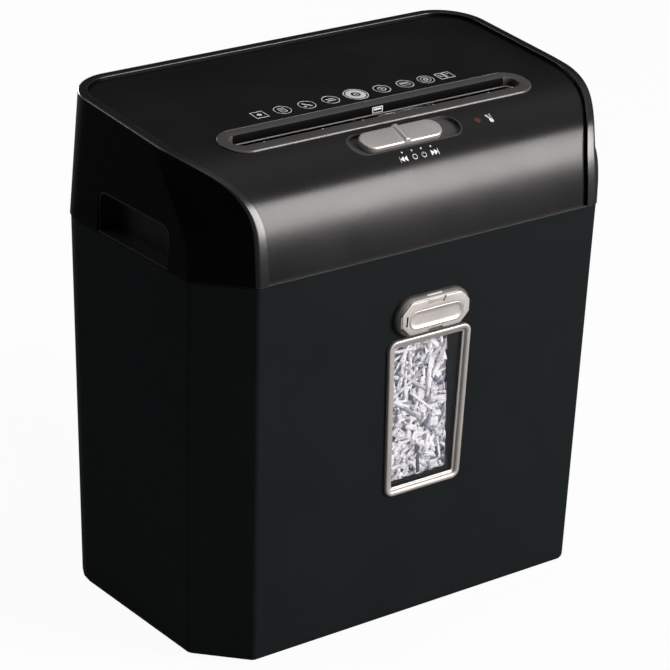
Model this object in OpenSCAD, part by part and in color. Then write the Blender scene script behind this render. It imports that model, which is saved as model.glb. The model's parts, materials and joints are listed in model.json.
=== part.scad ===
// Desk-side paper shredder: a cutter head that sits on a tapered waste bin.
// Millimetres. X runs along the feed slot, Y runs to the rear, Z is up.
// The origin lies on the floor, under the middle of the bin.

/* [Bin] */
// Width of the bin at its top edge
bin_w = 320; // [310:1:336]
// Depth of the bin at its top edge
bin_d = 176; // [172:1:188]
// Height of the bin's top edge above the floor
bin_h = 255; // [250:1:275]
// Wall of the bin
bin_wall = 2.6; // [2:0.2:3]
// How much each side wall leans in towards the floor
side_draft = 5.6; // [3:0.2:8]
// How much the front wall leans in towards the floor
front_draft = 4.7; // [3:0.1:7]
// How much the rear wall leans in towards the floor
rear_draft = 3; // [2:0.2:5]
// Front corner chamfer, measured along the front
chamfer_x = 29; // [24:1:32]
// Front corner chamfer, measured along the side
chamfer_y = 31.5; // [28:0.5:34]
// Radius of the rear corners
rear_r = 22; // [16:1:26]
// Radius of the soft upright edges
edge_r = 4; // [2:0.5:6]
// Round between the walls and the bin's floor
foot_round = 5; // [3:0.5:7]

/* [Feet] */
// Radius of a rubber foot
foot_r = 9; // [7:0.5:11]
// Height of a foot below the bin
foot_h = 1.5; // [1:0.5:2]
// Depth of the pocket that a foot is glued into
foot_seat = 1; // [0.6:0.2:1.2]
// Distance from a foot's centre to the side wall
foot_inset_x = 36; // [34:1:44]
// Distance from a foot's centre to the front or rear wall
foot_inset_y = 30; // [28:1:36]

/* [Window] */
// Width of the window frame at its top
window_top_w = 64.6; // [60:0.2:68]
// Width of the window frame at its bottom
window_low_w = 58.8; // [54:0.2:60]
// Height of the frame's lower edge above the floor
window_z = 91; // [85:1:96]
// Height of the window frame
window_h = 107; // [100:1:110]
// Width of the frame's bar
window_bar = 5.4; // [4:0.2:6]
// How far the frame stands out of the wall
window_proud = 2.4; // [1.5:0.1:3]
// Corner radius of the frame
window_r = 6; // [5:0.5:8]
// Thickness of the clear pane
pane_t = 2; // [1.5:0.1:2.4]
// Depth of the dark sleeve behind the frame
sleeve_depth = 13; // [10:0.5:16]
// Wall of the sleeve
sleeve_wall = 1.8; // [1.4:0.1:2.2]

/* [Badge] */
// Width of the lozenge plate over the window
badge_w = 57; // [52:1:60]
// Height of the lozenge plate
badge_h = 26; // [23:0.5:27]
// How far the plate stands out of the wall
badge_proud = 6; // [4:0.2:7]
// Gap between the window frame and the plate
badge_gap = 1.4; // [1:0.1:3]
// Width of the bare oval on the plate
oval_w = 44; // [40:1:46]
// Height of the bare oval
oval_h = 12; // [10:0.5:13]
// Thickness of the bare oval above its seat
oval_proud = 1.2; // [0.8:0.1:2]
// Width of the thumb notch in the plate's top edge
notch_w = 12; // [8:0.5:14]
// Depth of the thumb notch
notch_h = 4; // [3:0.5:5]

/* [Head] */
// Gap left as a shadow line between bin and casing
seam = 1.2; // [1:0.1:2]
// How far the casing overhangs the bin at the seam
overhang = 0.5; // [0:0.1:1]
// Wall of the casing
casing_wall = 2.8; // [2.4:0.1:3.2]
// How much each side leans in, seam to rim
head_lean = 4; // [2:0.2:6]
// How much the rear leans out, seam to rim
rear_lean = 3.6; // [1:0.2:5]
// Height above the seam of the rim's line, where it crosses the middle
rim_z = 74.7; // [72:0.1:80]
// Tilt of the top surface in degrees
top_tilt = 4.6; // [3:0.1:6]
// Extra radius of the rear corners at the rim
rim_corner = 9; // [4:1:12]
// Width of the rim round the control panel
rim_w = 6; // [5:0.2:7]
// How deep the control panel lies below the rim
panel_drop = 2.6; // [2:0.1:3.4]
// Thickness of the control panel
panel_t = 2.4; // [2:0.1:3]
// Width of the ledge that carries the control panel
ledge_w = 6; // [5:0.5:8]
// Thickness of the ledge
ledge_t = 2; // [1.6:0.2:2.6]

// How far the tray hangs into the bin
tray_drop = 19; // [17:0.5:21]
// Wall of the tray
tray_wall = 2.5; // [2:0.1:3]
// Distance from the bin's outline to the tray's well
tray_inset = 10; // [9.6:0.1:11]

/* [Waterfall] */
// Where the flat top starts to fall, from the middle
fall_y = -7.5; // [-12:0.5:0]
// Pull of the curve along the top
fall_top = 70; // [62:0.5:72]
// Pull of the curve up the front
fall_front = 56; // [50:0.5:58]
// Lean of the front at the seam, in degrees
fall_lean = 3.1; // [2:0.1:4]
// Height above the seam where the front chamfer starts to sweep back
sweep_z = 23; // [20:1:26]
// Rate at which the chamfer sweeps back, for each unit of height
sweep_rate = 0.93; // [0.85:0.01:1]
// Height over which the chamfer closes up
sweep_h = 53.5; // [50:0.5:56]

/* [Grips] */
// Front end of the finger recess, from the middle
grip_front = -35; // [-36:1:-30]
// Rear end of the finger recess
grip_rear = 42; // [36:1:46]
// Height of the finger recess
grip_h = 27; // [24:1:29]
// Depth of the finger recess
grip_depth = 13; // [11:0.5:14]
// Wall of the recess liner
grip_wall = 1.4; // [1.2:0.1:2]
// Radius of the recess's upper corners
grip_r = 7; // [5:0.5:9]

/* [Feed slot] */
// Room beside the paper entry, for the side plates, the gears and the grips
side_room = 50; // [48:1:52]
// Width of the paper entry
slot_gap = 11.6; // [10:0.2:13]
// Place of the entry, front of the middle
slot_y = -28.5; // [-30:0.5:-27]
// Width of the collar beyond each end of the entry
collar_end = 8.5; // [7:0.5:9]
// Width of the collar across the entry
collar_h = 30; // [28:0.5:31]
// How far the collar stands out of the panel
collar_proud = 0.9; // [0.5:0.1:1.4]
// Thickness of the two guide walls
guide_t = 1.6; // [1.4:0.1:2]
// Gap between the guide walls above the cutters
nip_gap = 6; // [5:0.5:7]

/* [Cutters] */
// Distance between the two cutter shafts
cutter_pitch = 34; // [33.6:0.1:34.4]
// Height of the cutter shafts above the bin's top edge
cutter_z = 17; // [16:0.5:18]
// Radius of a cutting disc
disc_r = 19; // [18.6:0.1:19.2]
// Width of a cutting disc
disc_w = 3.7; // [3.4:0.1:3.7]
// Distance between discs on one shaft
disc_pitch = 7.8; // [7.8:0.1:8]
// Radius of the shaft between the discs
core_r = 13; // [12:0.5:13.6]
// Radius of a shaft in its bushes
journal_r = 6; // [5:0.5:7]
// Width of a stripper finger
finger_w = 3.2; // [2.8:0.1:3.4]
// Distance from the end of the entry to a side plate
plate_gap = 4; // [3:0.5:5]
// Thickness of a steel side plate
plate_t = 2.5; // [2:0.5:3]
// Radius of the tie rods
rod_r = 3; // [2.5:0.5:4]

/* [Gears] */
// Teeth on each gear that couples the cutters
sync_teeth = 17; // [15:1:20]
// Teeth on the motor pinion
motor_teeth = 10; // [9:1:11]
// Teeth on the first idler's large wheel
idler_a_teeth = 50; // [48:1:52]
// Teeth on each idler's small wheel
small_teeth = 12; // [11:1:13]
// Teeth on the second idler's large wheel
idler_b_teeth = 36; // [34:1:38]
// Teeth on the drive gear
drive_teeth = 36; // [34:1:38]
// Distance from the motor shaft to the first idler
link_a = 30; // [29.6:0.1:30.4]
// Distance from the first idler to the second
link_b = 30; // [29.6:0.1:30.4]
// Distance from the second idler to the rear cutter
link_c = 36; // [35.6:0.1:36.4]
// Rise of the line from the rear cutter to the second idler, in degrees
link_rise = 40; // [38:1:42]
// Width of a gear layer
gear_w = 5; // [4.6:0.1:5.2]
// Gap between gear layers
gear_gap = 1.4; // [1.2:0.1:1.6]
// Radius of the idler pins
pin_r = 3; // [2.6:0.1:3.2]
// Thickness of the outer bearing plate
outer_plate_t = 1.6; // [1.4:0.1:1.8]

/* [Motor] */
// Distance of the motor shaft behind the middle
motor_y = 44; // [43:0.5:45]
// Height of the motor shaft above the bin's top edge
motor_z = 33; // [32:0.5:34]
// Radius of the motor can
motor_r = 29; // [27:0.5:30]
// Length of the motor can
motor_l = 78; // [70:1:84]
// Radius of the motor shaft
motor_shaft_r = 4; // [3.5:0.5:4]

/* [Board] */
// Width of the control board
board_w = 94; // [80:1:98]
// Depth of the control board
board_d = 44; // [36:1:46]
// Gap between the board and the tray's rear wall
board_gap = 7.5; // [6:0.5:10]
// Distance of the interlock pin from the bin's side
interlock_inset = 26; // [24:1:28]
// Distance of the cord gland from the bin's side
gland_inset = 42; // [36:1:50]

/* [Switch] */
// Distance between the switch positions
switch_step = 7.4; // [7:0.1:7.8]
// Length of the slider's grip
slider_w = 60.8; // [58:0.2:62]
// Height of the slider's grip
slider_h = 16; // [15:0.5:17]
// How far the grip stands out of its recess
slider_proud = 3.4; // [3:0.2:4]
// Middle of the switch's travel, right of the object's middle
switch_x = -0.9; // [-2:0.1:2]
// Place of the switch, front of the middle
switch_y = -56.5; // [-57:0.5:-55.5]
// Distance of the status lamp right of the middle
lamp_x = 54.4; // [50:0.2:60]
// Radius of the status lamp
lamp_r = 2.4; // [2:0.1:3]

/* [Fits] */
// Running clearance of a shaft in its bush
run_fit = 0.05; // [0.03:0.01:0.08]
// Clearance between moulded pieces that lie in each other
case_fit = 0.3; // [0.2:0.05:0.4]
// Gap between the bin's tab and the interlock pin
pin_gap = 0.2; // [0.1:0.1:0.4]

/* [Hidden] */
$fn = 48;

// ---- plain geometry helpers ----
function unit(v) = v / norm(v);
function turn(a) = a > 180 ? a - 360 : a < -180 ? a + 360 : a;
function polar(r, a) = [r * cos(a), r * sin(a)];
function wrap(i, n) = (i + n) % n;

// One corner of an outline, rounded to radius r in n steps.
function corner(a, p, b, r, n) =
    let (u = unit(a - p), v = unit(b - p), half = acos(u * v) / 2,
        c = p + unit(u + v) * r / sin(half),
        s = p + u * r / tan(half) - c,
        e = p + v * r / tan(half) - c,
        start = atan2(s.y, s.x),
        sweep = turn(atan2(e.y, e.x) - start))
    r == 0 ? [p] : [for (k = [0:n]) c + polar(r, start + sweep * k / n)];

function rounded(pts, radii, n = 5) =
    let (m = len(pts))
    [for (i = [0:m - 1]) each corner(pts[wrap(i - 1, m)], pts[i], pts[wrap(i + 1, m)], radii[i], n)];

// A counter-clockwise outline with every side moved in by d.
function inset(pts, d) =
    let (m = len(pts))
    [for (i = [0:m - 1])
        let (u = unit(pts[i] - pts[wrap(i - 1, m)]), v = unit(pts[wrap(i + 1, m)] - pts[i]),
            nu = [-u.y, u.x], nv = [-v.y, v.x])
        pts[i] + (nu + nv) * d / (1 + nu * nv)];

// Points that share the line from a to b into equal pieces.
function between(a, b, pieces = 3) = [for (k = [1:pieces - 1]) a + (b - a) * k / pieces];

function raise(pts, z) = [for (p = pts) [p.x, p.y, z]];

// A closed solid through rows of points, bottom row first.
module loft(rows) {
    n = len(rows[0]);
    m = len(rows);
    polyhedron(
        points = [for (r = rows) each r],
        faces = concat(
            [[for (i = [0:n - 1]) i]],
            [for (j = [0:m - 2], i = [0:n - 1])
                let (a = j * n + i, b = j * n + wrap(i + 1, n))
                each [[a, a + n, b + n], [a, b + n, b]]],
            [[for (i = [n - 1:-1:0]) (m - 1) * n + i]]));
}

// A flat profile drawn as (y, z), run along X from x0 to x1.
module along_x(x0, x1) {
    translate([x0, 0, 0]) rotate([90, 0, 90]) linear_extrude(x1 - x0) children();
}

// A round bar along X through the point (y, z).
module bar_x(x0, x1, yz, r) {
    translate([x0, yz.x, yz.y]) rotate([0, 90, 0]) cylinder(h = x1 - x0, r = r);
}

module box_between(a, b) {
    translate(a) cube(b - a);
}

// A slot shape with round ends, w long overall.
module obround(w, h) {
    square([w - h, h], center = true);
    for (side = [-1, 1]) translate([side * (w - h) / 2, 0]) circle(h / 2);
}

module mirrored() {
    children();
    mirror([1, 0, 0]) children();
}

// ---- bin outline ----
bin_base = foot_h;
front_y = -bin_d / 2;
function bin_outline(z, d) =
    let (f = 1 - z / bin_h, w = bin_w / 2 - side_draft * f,
        yf = front_y + front_draft * f, yr = bin_d / 2 - rear_draft * f)
    rounded(
        inset([[chamfer_x - w, yf], [w - chamfer_x, yf], [w, yf + chamfer_y], [w, yr], [-w, yr],
            [-w, yf + chamfer_y]], d),
        [edge_r, edge_r, edge_r, max(rear_r - d, 2), max(rear_r - d, 2), edge_r]);

// Front wall's outer face at height z, and its lean.
function front_at(z) = front_y + front_draft * (1 - z / bin_h);
front_tilt = atan(front_draft / bin_h);

// ---- head outline ----
seat_z = bin_h + seam;
cheek_z = bin_h + sweep_z;
far_front = front_y - overhang - 2;
sweep_soft = 5;
chamfer_turn = atan(chamfer_x / chamfer_y);
min_turn = 1.5;
head_front = front_y - overhang;
function swept(z) = sweep_soft * ln(1 + exp((z - cheek_z) / sweep_soft));
function head_half(z) = bin_w / 2 + overhang - head_lean * (z - bin_h) / rim_z;
function head_turn(z) =
    let (u = sweep_soft * ln(1 + exp((z - cheek_z + 0.5) / sweep_soft)) / sweep_h)
    max(chamfer_turn * (1 - 0.75 * u - 0.5 * pow(u, 8)), min_turn);
function head_side_y(z) = head_front + chamfer_y + sweep_rate * swept(z);
function head_rear(z) = bin_d / 2 + overhang + rear_lean * (z - bin_h) / rim_z;
// Sides and rear are moved in by d; the front stays ahead of the waterfall.
function head_outline(z, d) =
    let (w = head_half(z), ys = head_side_y(z), yr = head_rear(z), yf = far_front - d,
        xf = w - (ys - yf) * tan(head_turn(z)),
        r = max(rear_r + rim_corner * (z - bin_h) / rim_z - d, 2),
        right = between([xf, yf], [w, ys]),
        left = between([-w, ys], [-xf, yf]),
        zeros = [for (p = right) 0])
    rounded(inset(concat([[-xf, yf], [xf, yf]], right, [[w, ys], [w, yr], [-w, yr], [-w, ys]], left), d),
        concat([0, 0], zeros, [edge_r, r, r, edge_r], zeros));
level_step = 5;
head_levels = concat([seat_z], [for (z = [cheek_z - 10:level_step:cheek_z + sweep_h]) z],
    [cheek_z + sweep_h + 1, bin_h + rim_z + 14]);
module head_loft(d = 0, low = seat_z - 3) {
    loft([for (i = [0:len(head_levels) - 1])
        raise(head_outline(head_levels[i], d), i == 0 ? low : head_levels[i])]);
}

// ---- waterfall profile: the tilted top, then a cubic curve down the front ----
top_dir = [cos(top_tilt), sin(top_tilt)];
fall_start = [fall_y, bin_h + rim_z + fall_y * tan(top_tilt)];
fall_end = [head_front, bin_h];
front_dir = [sin(fall_lean), cos(fall_lean)];
fall_a = fall_start - fall_top * top_dir;
fall_b = fall_end + fall_front * front_dir;
fall_steps = 22;
function fall_point(t) =
    pow(1 - t, 3) * fall_start + 3 * pow(1 - t, 2) * t * fall_a + 3 * (1 - t) * t * t * fall_b
        + pow(t, 3) * fall_end;
function fall_slope(t) = unit(
    pow(1 - t, 2) * (fall_a - fall_start) + 2 * (1 - t) * t * (fall_b - fall_a) + t * t
        * (fall_end - fall_b));
// The profile moved in by d; taper shares out how much of d is left at the seam.
function fall_inner(t, d) = let (s = fall_slope(t)) fall_point(t) + d * [-s.y, s.x];
far_rear = bin_d / 2 + 30;
function fall_profile(d) = concat(
    [fall_start + [far_rear - fall_y, (far_rear - fall_y) * tan(top_tilt)] + d * [top_dir.y, -top_dir.x]],
    [for (k = [0:fall_steps]) fall_inner(k / fall_steps, d)]);
// Everything under the profile moved in by d, from height low up.
module under_fall(d, low = seat_z, half = bin_w / 2 + 10) {
    p = fall_profile(d);
    last = p[len(p) - 1];
    along_x(-half, half) polygon(concat(p, [last - front_dir * (bin_h - low + 8), [far_rear, low - 8]]));
}
// Everything above the seam, so that the casing and the panel end in one flat face.
module above_seam() {
    box_between([-bin_w, -bin_d, seat_z], [bin_w, bin_d, bin_h + 2 * rim_z]);
}
// The point of the panel's surface at a distance t along the curve, and its tilt about X.
function panel_tilt(y) = let (t = fall_t(y, panel_drop), s = fall_slope(t)) atan2(-s.y, -s.x);
function panel_z(y) = y >= fall_y ?
    bin_h + rim_z + y * tan(top_tilt)
        - panel_drop / cos(top_tilt) : fall_inner(fall_t(y, panel_drop), panel_drop).y;
// The curve's parameter at the place y, by halving.
function fall_t(y, d, lo = 0, hi = 1, n = 20) =
    n == 0 ? (lo + hi) / 2 :
    let (mid = (lo + hi) / 2) fall_inner(mid, d).x > y ? fall_t(y, d, mid, hi, n - 1) : fall_t(y, d, lo,
        mid, n - 1);
// Puts its children on the panel's surface at (x, y), with local Z standing straight out of it.
module on_panel(x, y) {
    tilt = y >= fall_y ? top_tilt : panel_tilt(y);
    translate([x, y, panel_z(y)]) rotate([tilt, 0, 0]) children();
}

// ---- places inside the head ----
slot_w = bin_w - 2 * side_room;
collar_w = slot_w + 2 * collar_end;
plate_x = slot_w / 2 + plate_gap;
tray_low = bin_h - tray_drop;
tray_floor = tray_low + tray_wall;
axis_z = bin_h + cutter_z;
axis_front = [slot_y - cutter_pitch / 2, axis_z];
axis_rear = [slot_y + cutter_pitch / 2, axis_z];
axis_motor = [motor_y, bin_h + motor_z];
idler_b = axis_rear + polar(link_c, link_rise);
// The lower of the two points at distance ra from a and rb from b.
function lower_meet(a, ra, b, rb) =
    let (d = norm(b - a), t = (ra * ra - rb * rb + d * d) / (2 * d), h = sqrt(ra * ra - t * t),
        u = unit(b - a))
    a + t * u - h * [-u.y, u.x];
idler_a = lower_meet(idler_b, link_b, axis_motor, link_a);
plate_out = plate_x + plate_t;
flange_t = 1.5;
bush_r = journal_r + 3;
flange_r = bush_r + 2;
press_gap = 0.02;
gear_x = plate_out + flange_t + 0.8;
function layer_x(k) = gear_x + k * (gear_w + gear_gap);
outer_plate_x = layer_x(3) - 0.4;
core_half = plate_x - 1.5;
discs = floor(2 * core_half / disc_pitch) - 1;
plate_front = axis_front.x - disc_r - 5.5;
plate_rear = axis_rear.x + disc_r + 6.5;
plate_top = axis_z + disc_r + 9;
rods = [[axis_front.x, axis_z - disc_r - rod_r - 3], [axis_rear.x, axis_z - disc_r - rod_r - 3],
    [axis_front.x - disc_r + 2, axis_z + disc_r + 2], [axis_rear.x + disc_r - 2.5, axis_z + disc_r + 2]];

// ================= bin =================
module waste_bin() {
    inner_base = bin_base + bin_wall;
    round_in = foot_round - bin_wall / 2;
    color([0.13, 0.145, 0.15])
    difference() {
        union() {
            difference() {
                loft(concat(
                    [for (k = [0:4]) let (a = 22.5 * k, z = bin_base + foot_round * (1 - cos(a)))
                        raise(bin_outline(z, foot_round * (1 - sin(a))), z)],
                    [raise(bin_outline(bin_h, 0), bin_h)]));
                loft(concat(
                    [for (k = [0:2]) let (a = 45 * k, z = inner_base + round_in * (1 - cos(a)))
                        raise(bin_outline(z, bin_wall + round_in * (1 - sin(a))), z)],
                    [raise(bin_outline(bin_h + 2, bin_wall), bin_h + 2)]));
            }
            interlock_shelf();
        }
        on_front(window_mid) translate([0, 0, -bin_wall * 2])
            linear_extrude(bin_wall * 3) polygon(window_outline(window_bar - sleeve_wall - case_fit));
        foot_places(foot_r + case_fit / 2, bin_base - 1, foot_h + foot_seat);
    }
}

// A shelf inside the rear wall that presses the head's interlock pin.
interlock_x = interlock_inset - bin_w / 2;
shelf_top = tray_low - 4.5;
interlock_y = bin_d / 2 - 18;
module interlock_shelf() {
    wall_in = bin_d / 2 - rear_draft * (1 - shelf_top / bin_h) - bin_wall / 2;
    box_between([interlock_x - 5, interlock_y - 6, shelf_top - 3], [interlock_x + 5, wall_in, shelf_top]);
    along_x(interlock_x - 1.2, interlock_x + 1.2)
        polygon([[interlock_y - 4, shelf_top - 2], [wall_in, shelf_top - 2],
            [wall_in - 0.2, shelf_top - 20]]);
}

module foot_places(r, low, high) {
    for (side = [-1, 1], y = [front_y + foot_inset_y, -front_y - foot_inset_y])
        translate([side * (bin_w / 2 - foot_inset_x), y, low]) cylinder(h = high - low, r = r);
}

module bin_feet() {
    color([0.07, 0.07, 0.07]) foot_places(foot_r, 0, foot_h + foot_seat);
}

// Local frame on the front wall: X across, Y up the wall, Z out of it.
module on_front(z) {
    translate([0, front_at(z), z]) rotate([90 + front_tilt, 0, 0]) children();
}

window_mid = window_z + window_h / 2;
function window_outline(d) =
    let (a = window_low_w / 2, b = window_top_w / 2, h = window_h / 2)
    rounded(inset([[-a, -h], [a, -h], [b, h], [-b, h]], d), [for (i = [0:3]) max(window_r - d, 1.2)], 6);

module window_ring(d_out, d_in, low, high) {
    on_front(window_mid) translate([0, 0, low]) linear_extrude(high - low) difference() {
        polygon(window_outline(d_out));
        polygon(window_outline(d_in));
    }
}

module window_frame() {
    color([0.74, 0.72, 0.69]) {
        window_ring(0, window_bar, 0.02, window_proud - 0.8);
        window_ring(0.8, window_bar - 1.4, window_proud - 0.8, window_proud);
    }
}

module window_pane() {
    color([0.75, 0.78, 0.8, 0.35])
    on_front(window_mid) translate([0, 0, -pane_t])
        linear_extrude(pane_t) polygon(window_outline(window_bar - sleeve_wall));
}

module window_sleeve() {
    color([0.05, 0.05, 0.05]) window_ring(window_bar - sleeve_wall, window_bar, -pane_t - sleeve_depth,
        -pane_t);
}

badge_mid = window_z + window_h + badge_gap + badge_h / 2;
oval_drop = 3.5;
module badge_plate() {
    color([0.74, 0.72, 0.69])
    on_front(badge_mid) difference() {
        translate([0, 0, 0.02]) union() {
            linear_extrude(badge_proud - 1.6) obround(badge_w, badge_h);
            linear_extrude(badge_proud - 0.6) obround(badge_w - 1.6, badge_h - 1.6);
            linear_extrude(badge_proud) obround(badge_w - 3.6, badge_h - 3.6);
        }
        translate([0, badge_h / 2 - notch_h, badge_proud / 2])
            linear_extrude(badge_proud) translate([0, notch_h / 2])
                square([notch_w, notch_h * 1.1], center = true);
        translate([0, -oval_drop, badge_proud - 0.8]) linear_extrude(2) obround(oval_w + 1, oval_h + 1);
    }
}

module badge_oval() {
    color([0.8, 0.78, 0.75])
    on_front(badge_mid) translate([0, -oval_drop, badge_proud - 0.8]) {
        linear_extrude(oval_proud) obround(oval_w, oval_h);
        linear_extrude(oval_proud + 0.5) obround(oval_w - 2.4, oval_h - 2.4);
    }
}

// A heap of cut paper behind the window.
heap_top = window_z + window_h - window_bar + 4;
heap_front = front_y + front_draft + bin_wall + pane_t + sleeve_depth + 1;
module paper_shreds() {
    low = bin_base + bin_wall + case_fit;
    side_gap = bin_wall + case_fit;
    color([0.86, 0.87, 0.9])
    intersection() {
        loft([raise(bin_outline(low, side_gap + foot_round), low),
            raise(bin_outline(low + foot_round, side_gap), low + foot_round),
            raise(bin_outline(heap_top, side_gap), heap_top)]);
        along_x(-bin_w / 2, bin_w / 2) polygon([[heap_front, 0], [bin_d / 2, 0], [bin_d / 2 - 22, 34],
            [8, 112], [heap_front + 40, heap_top - 28], [heap_front + 20, heap_top + 1],
                [heap_front, heap_top + 1]]);
    }
}

// ================= head: casing and panel =================
under_panel = panel_drop + panel_t;
boss_r = 5;
screw_r = 1.6;
screw_x = bin_w / 2 - tray_inset + 3.6;
screw_ys = [front_y + chamfer_y + 8.5, bin_d / 2 - 32];
gland_x = gland_inset - bin_w / 2;
gland_z = bin_h + 26;
gland_r = 7;

module grip_shape(grow = 0) {
    // Drawn as (y, z): open at the bottom, with round upper corners.
    y0 = grip_front - grow;
    y1 = grip_rear + grow;
    top = seat_z + grip_h + grow;
    polygon(rounded([[y0, seat_z - 1], [y1, seat_z - 1], [y1, top], [y0, top]],
        [0, 0, grip_r + grow, grip_r + grow], 6));
}

module head_casing() {
    color([0.1, 0.1, 0.105])
    difference() {
        intersection() {
            head_loft();
            under_fall(0);
            above_seam();
        }
        difference() {
            intersection() {
                head_loft(casing_wall, seat_z - 1);
                under_fall(under_panel + ledge_t, seat_z - 1);
            }
            for (side = [-1, 1], y = screw_ys) difference() {
                translate([side * screw_x, y, seat_z - 2]) cylinder(h = 18, r = boss_r);
                translate([side * screw_x, y, seat_z - 3]) cylinder(h = 15, r = screw_r);
            }
        }
        difference() {
            head_loft(rim_w, seat_z - 1);
            under_fall(under_panel, seat_z - 2);
        }
        intersection() {
            head_loft(rim_w + ledge_w, seat_z + 10);
            box_between([-bin_w, far_front - 5, seat_z + 10], [bin_w, bin_d, bin_h + rim_z + 30]);
        }
        mirrored() along_x(bin_w / 2 - casing_wall - 6, bin_w) grip_shape(case_fit);
        translate([gland_x, bin_d / 2 - 8, gland_z]) rotate([-90, 0, 0]) cylinder(h = 20, r = gland_r + 0.1);
        for (side = [-1, 1], y = screw_ys)
            translate([side * screw_x, y, seat_z - 1]) cylinder(h = 13, r = screw_r);
    }
}

module control_panel() {
    color([0.12, 0.115, 0.115])
    difference() {
        intersection() {
            head_loft(rim_w + case_fit);
            under_fall(panel_drop);
            above_seam();
        }
        under_fall(under_panel, seat_z - 2);
        on_panel(0, slot_y) translate([0, 0, -12]) linear_extrude(24)
            obround(collar_neck_w + case_fit, collar_neck_h + case_fit);
        on_panel(switch_x, switch_y) translate([0, 0, -12]) linear_extrude(24)
            obround(recess_w + case_fit, recess_h + case_fit);
        on_panel(lamp_x, switch_y - 2) translate([0, 0, -8]) cylinder(h = 16, r = lamp_r + 0.1);
    }
}

collar_neck_w = collar_w - 6;
collar_neck_h = collar_h - 6;
collar_depth = 6;
flare_depth = 5.4;
flare_end = 1;
flare_side = 1.8;
module slot_collar() {
    color([0.06, 0.06, 0.065])
    difference() {
        union() {
            difference() {
                on_panel(0, slot_y) translate([0, 0, -2 * collar_proud])
                    linear_extrude(3 * collar_proud) difference() {
                        obround(collar_w, collar_h);
                        obround(collar_neck_w - 1, collar_neck_h - 1);
                    }
                under_fall(panel_drop - press_gap);
            }
            on_panel(0, slot_y) translate([0, 0, -collar_depth])
                linear_extrude(collar_depth + collar_proud) obround(collar_neck_w, collar_neck_h);
        }
        on_panel(0, slot_y) {
            translate([0, 0, -collar_depth - 1]) linear_extrude(20) obround(slot_w, slot_gap);
            hull() {
                translate([0, 0, -flare_depth]) linear_extrude(0.1) obround(slot_w, slot_gap, $fn = 32);
                translate([0, 0, collar_proud])
                    linear_extrude(0.1) obround(slot_w + flare_end, slot_gap + flare_side, $fn = 32);
            }
        }
    }
}

// Guide walls: (y, z) outline from under the collar down to the nip.
guide_top = panel_z(slot_y) - collar_depth - 1.2;
guide_low = axis_z + sqrt(pow(disc_r, 2) - pow(cutter_pitch / 2 - nip_gap / 2 - guide_t, 2)) + 2;
function guide_y(side, z) =
    slot_y + side * (nip_gap / 2 + (slot_gap - nip_gap) / 2 * (z - guide_low) / (guide_top - guide_low));
module guide_wall(side) {
    along_x(-plate_x, plate_x) polygon([[guide_y(side, guide_low), guide_low],
        [guide_y(side, guide_top), guide_top],
        [guide_y(side, guide_top) + side * guide_t, guide_top],
            [guide_y(side, guide_low) + side * guide_t, guide_low]]);
}

module guide_front() {
    color([0.09, 0.09, 0.09]) guide_wall(-1);
}

lever_pivot = [slot_y + 15, guide_top - 8.5];
lever_w = 3;
lever_pin_r = 1.5;
ear_t = 2;
shelf_z = lever_pivot.y - 10;
module guide_rear() {
    color([0.09, 0.09, 0.09])
    difference() {
        union() {
            guide_wall(1);
            for (side = [-1, 1])
                translate([side * (lever_w / 2 + 2.5 + ear_t / 2) - ear_t / 2, 0, 0]) along_x(0, ear_t)
                    polygon([[guide_y(1, shelf_z) + 0.4, shelf_z], [lever_pivot.x + 4, shelf_z],
                        [lever_pivot.x + 4, lever_pivot.y + 4],
                            [guide_y(1, lever_pivot.y) + 0.6, lever_pivot.y + 4]]);
            box_between([-8, guide_y(1, shelf_z) + 0.4, shelf_z - 2], [8, lever_pivot.x + 15, shelf_z]);
        }
        bar_x(-10, 10, lever_pivot, lever_pin_r + run_fit);
        box_between([-lever_w / 2 - 1, slot_y, guide_low + 5],
            [lever_w / 2 + 1, guide_y(1, guide_top) + guide_t + 0.2, guide_top - 3]);
    }
}

module grip_liners() {
    deep = bin_w / 2 + overhang - grip_depth;
    color([0.04, 0.04, 0.04])
    mirrored() intersection() {
        difference() {
            along_x(deep - grip_wall, bin_w / 2 + overhang) grip_shape(0);
            along_x(deep, bin_w) difference() {
                grip_shape(-grip_wall);
                translate([grip_front - 5, -50]) square([200, 1]);
            }
        }
        box_between([0, -bin_d, seat_z], [bin_w / 2 + overhang - head_lean * 0.4, bin_d, bin_h + rim_z]);
    }
}

module head_tray() {
    well_top = seat_z;
    hole_x = plate_x - 4;
    color([0.1, 0.1, 0.1])
    difference() {
        union() {
            translate([0, 0, bin_h]) linear_extrude(seam) polygon(bin_outline(bin_h, 0.9));
            translate([0, 0, tray_low]) linear_extrude(well_top - tray_low)
                polygon(bin_outline(bin_h, tray_inset));
        }
        difference() {
            translate([0, 0, tray_floor]) linear_extrude(60)
                polygon(bin_outline(bin_h, tray_inset + tray_wall));
            tray_posts();
        }
        box_between([-hole_x, axis_front.x - disc_r - 2, 0], [hole_x, axis_rear.x + disc_r + 2, bin_h]);
        for (side = [-1, 1], y = screw_ys)
            translate([side * screw_x, y, bin_h - 1]) cylinder(h = seam + 2, r = screw_r + 0.2);
        translate([interlock_x, interlock_y, tray_low - 1]) cylinder(h = tray_wall + 2, r = plunger_r + 0.15);
    }
}

board_x = [-plate_x - 2, board_w - plate_x - 2];
board_rear = bin_d / 2 - tray_inset - tray_wall - board_gap;
board_y = [board_rear - board_d, board_rear];
board_z = tray_floor + 6;
board_t = 1.6;
board_hole = 4;
module at_board_corners() {
    for (x = [board_x[0] + board_hole, board_x[1] - board_hole],
        y = [board_y[0] + board_hole, board_y[1] - board_hole])
        translate([x, y, 0]) children();
}

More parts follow.
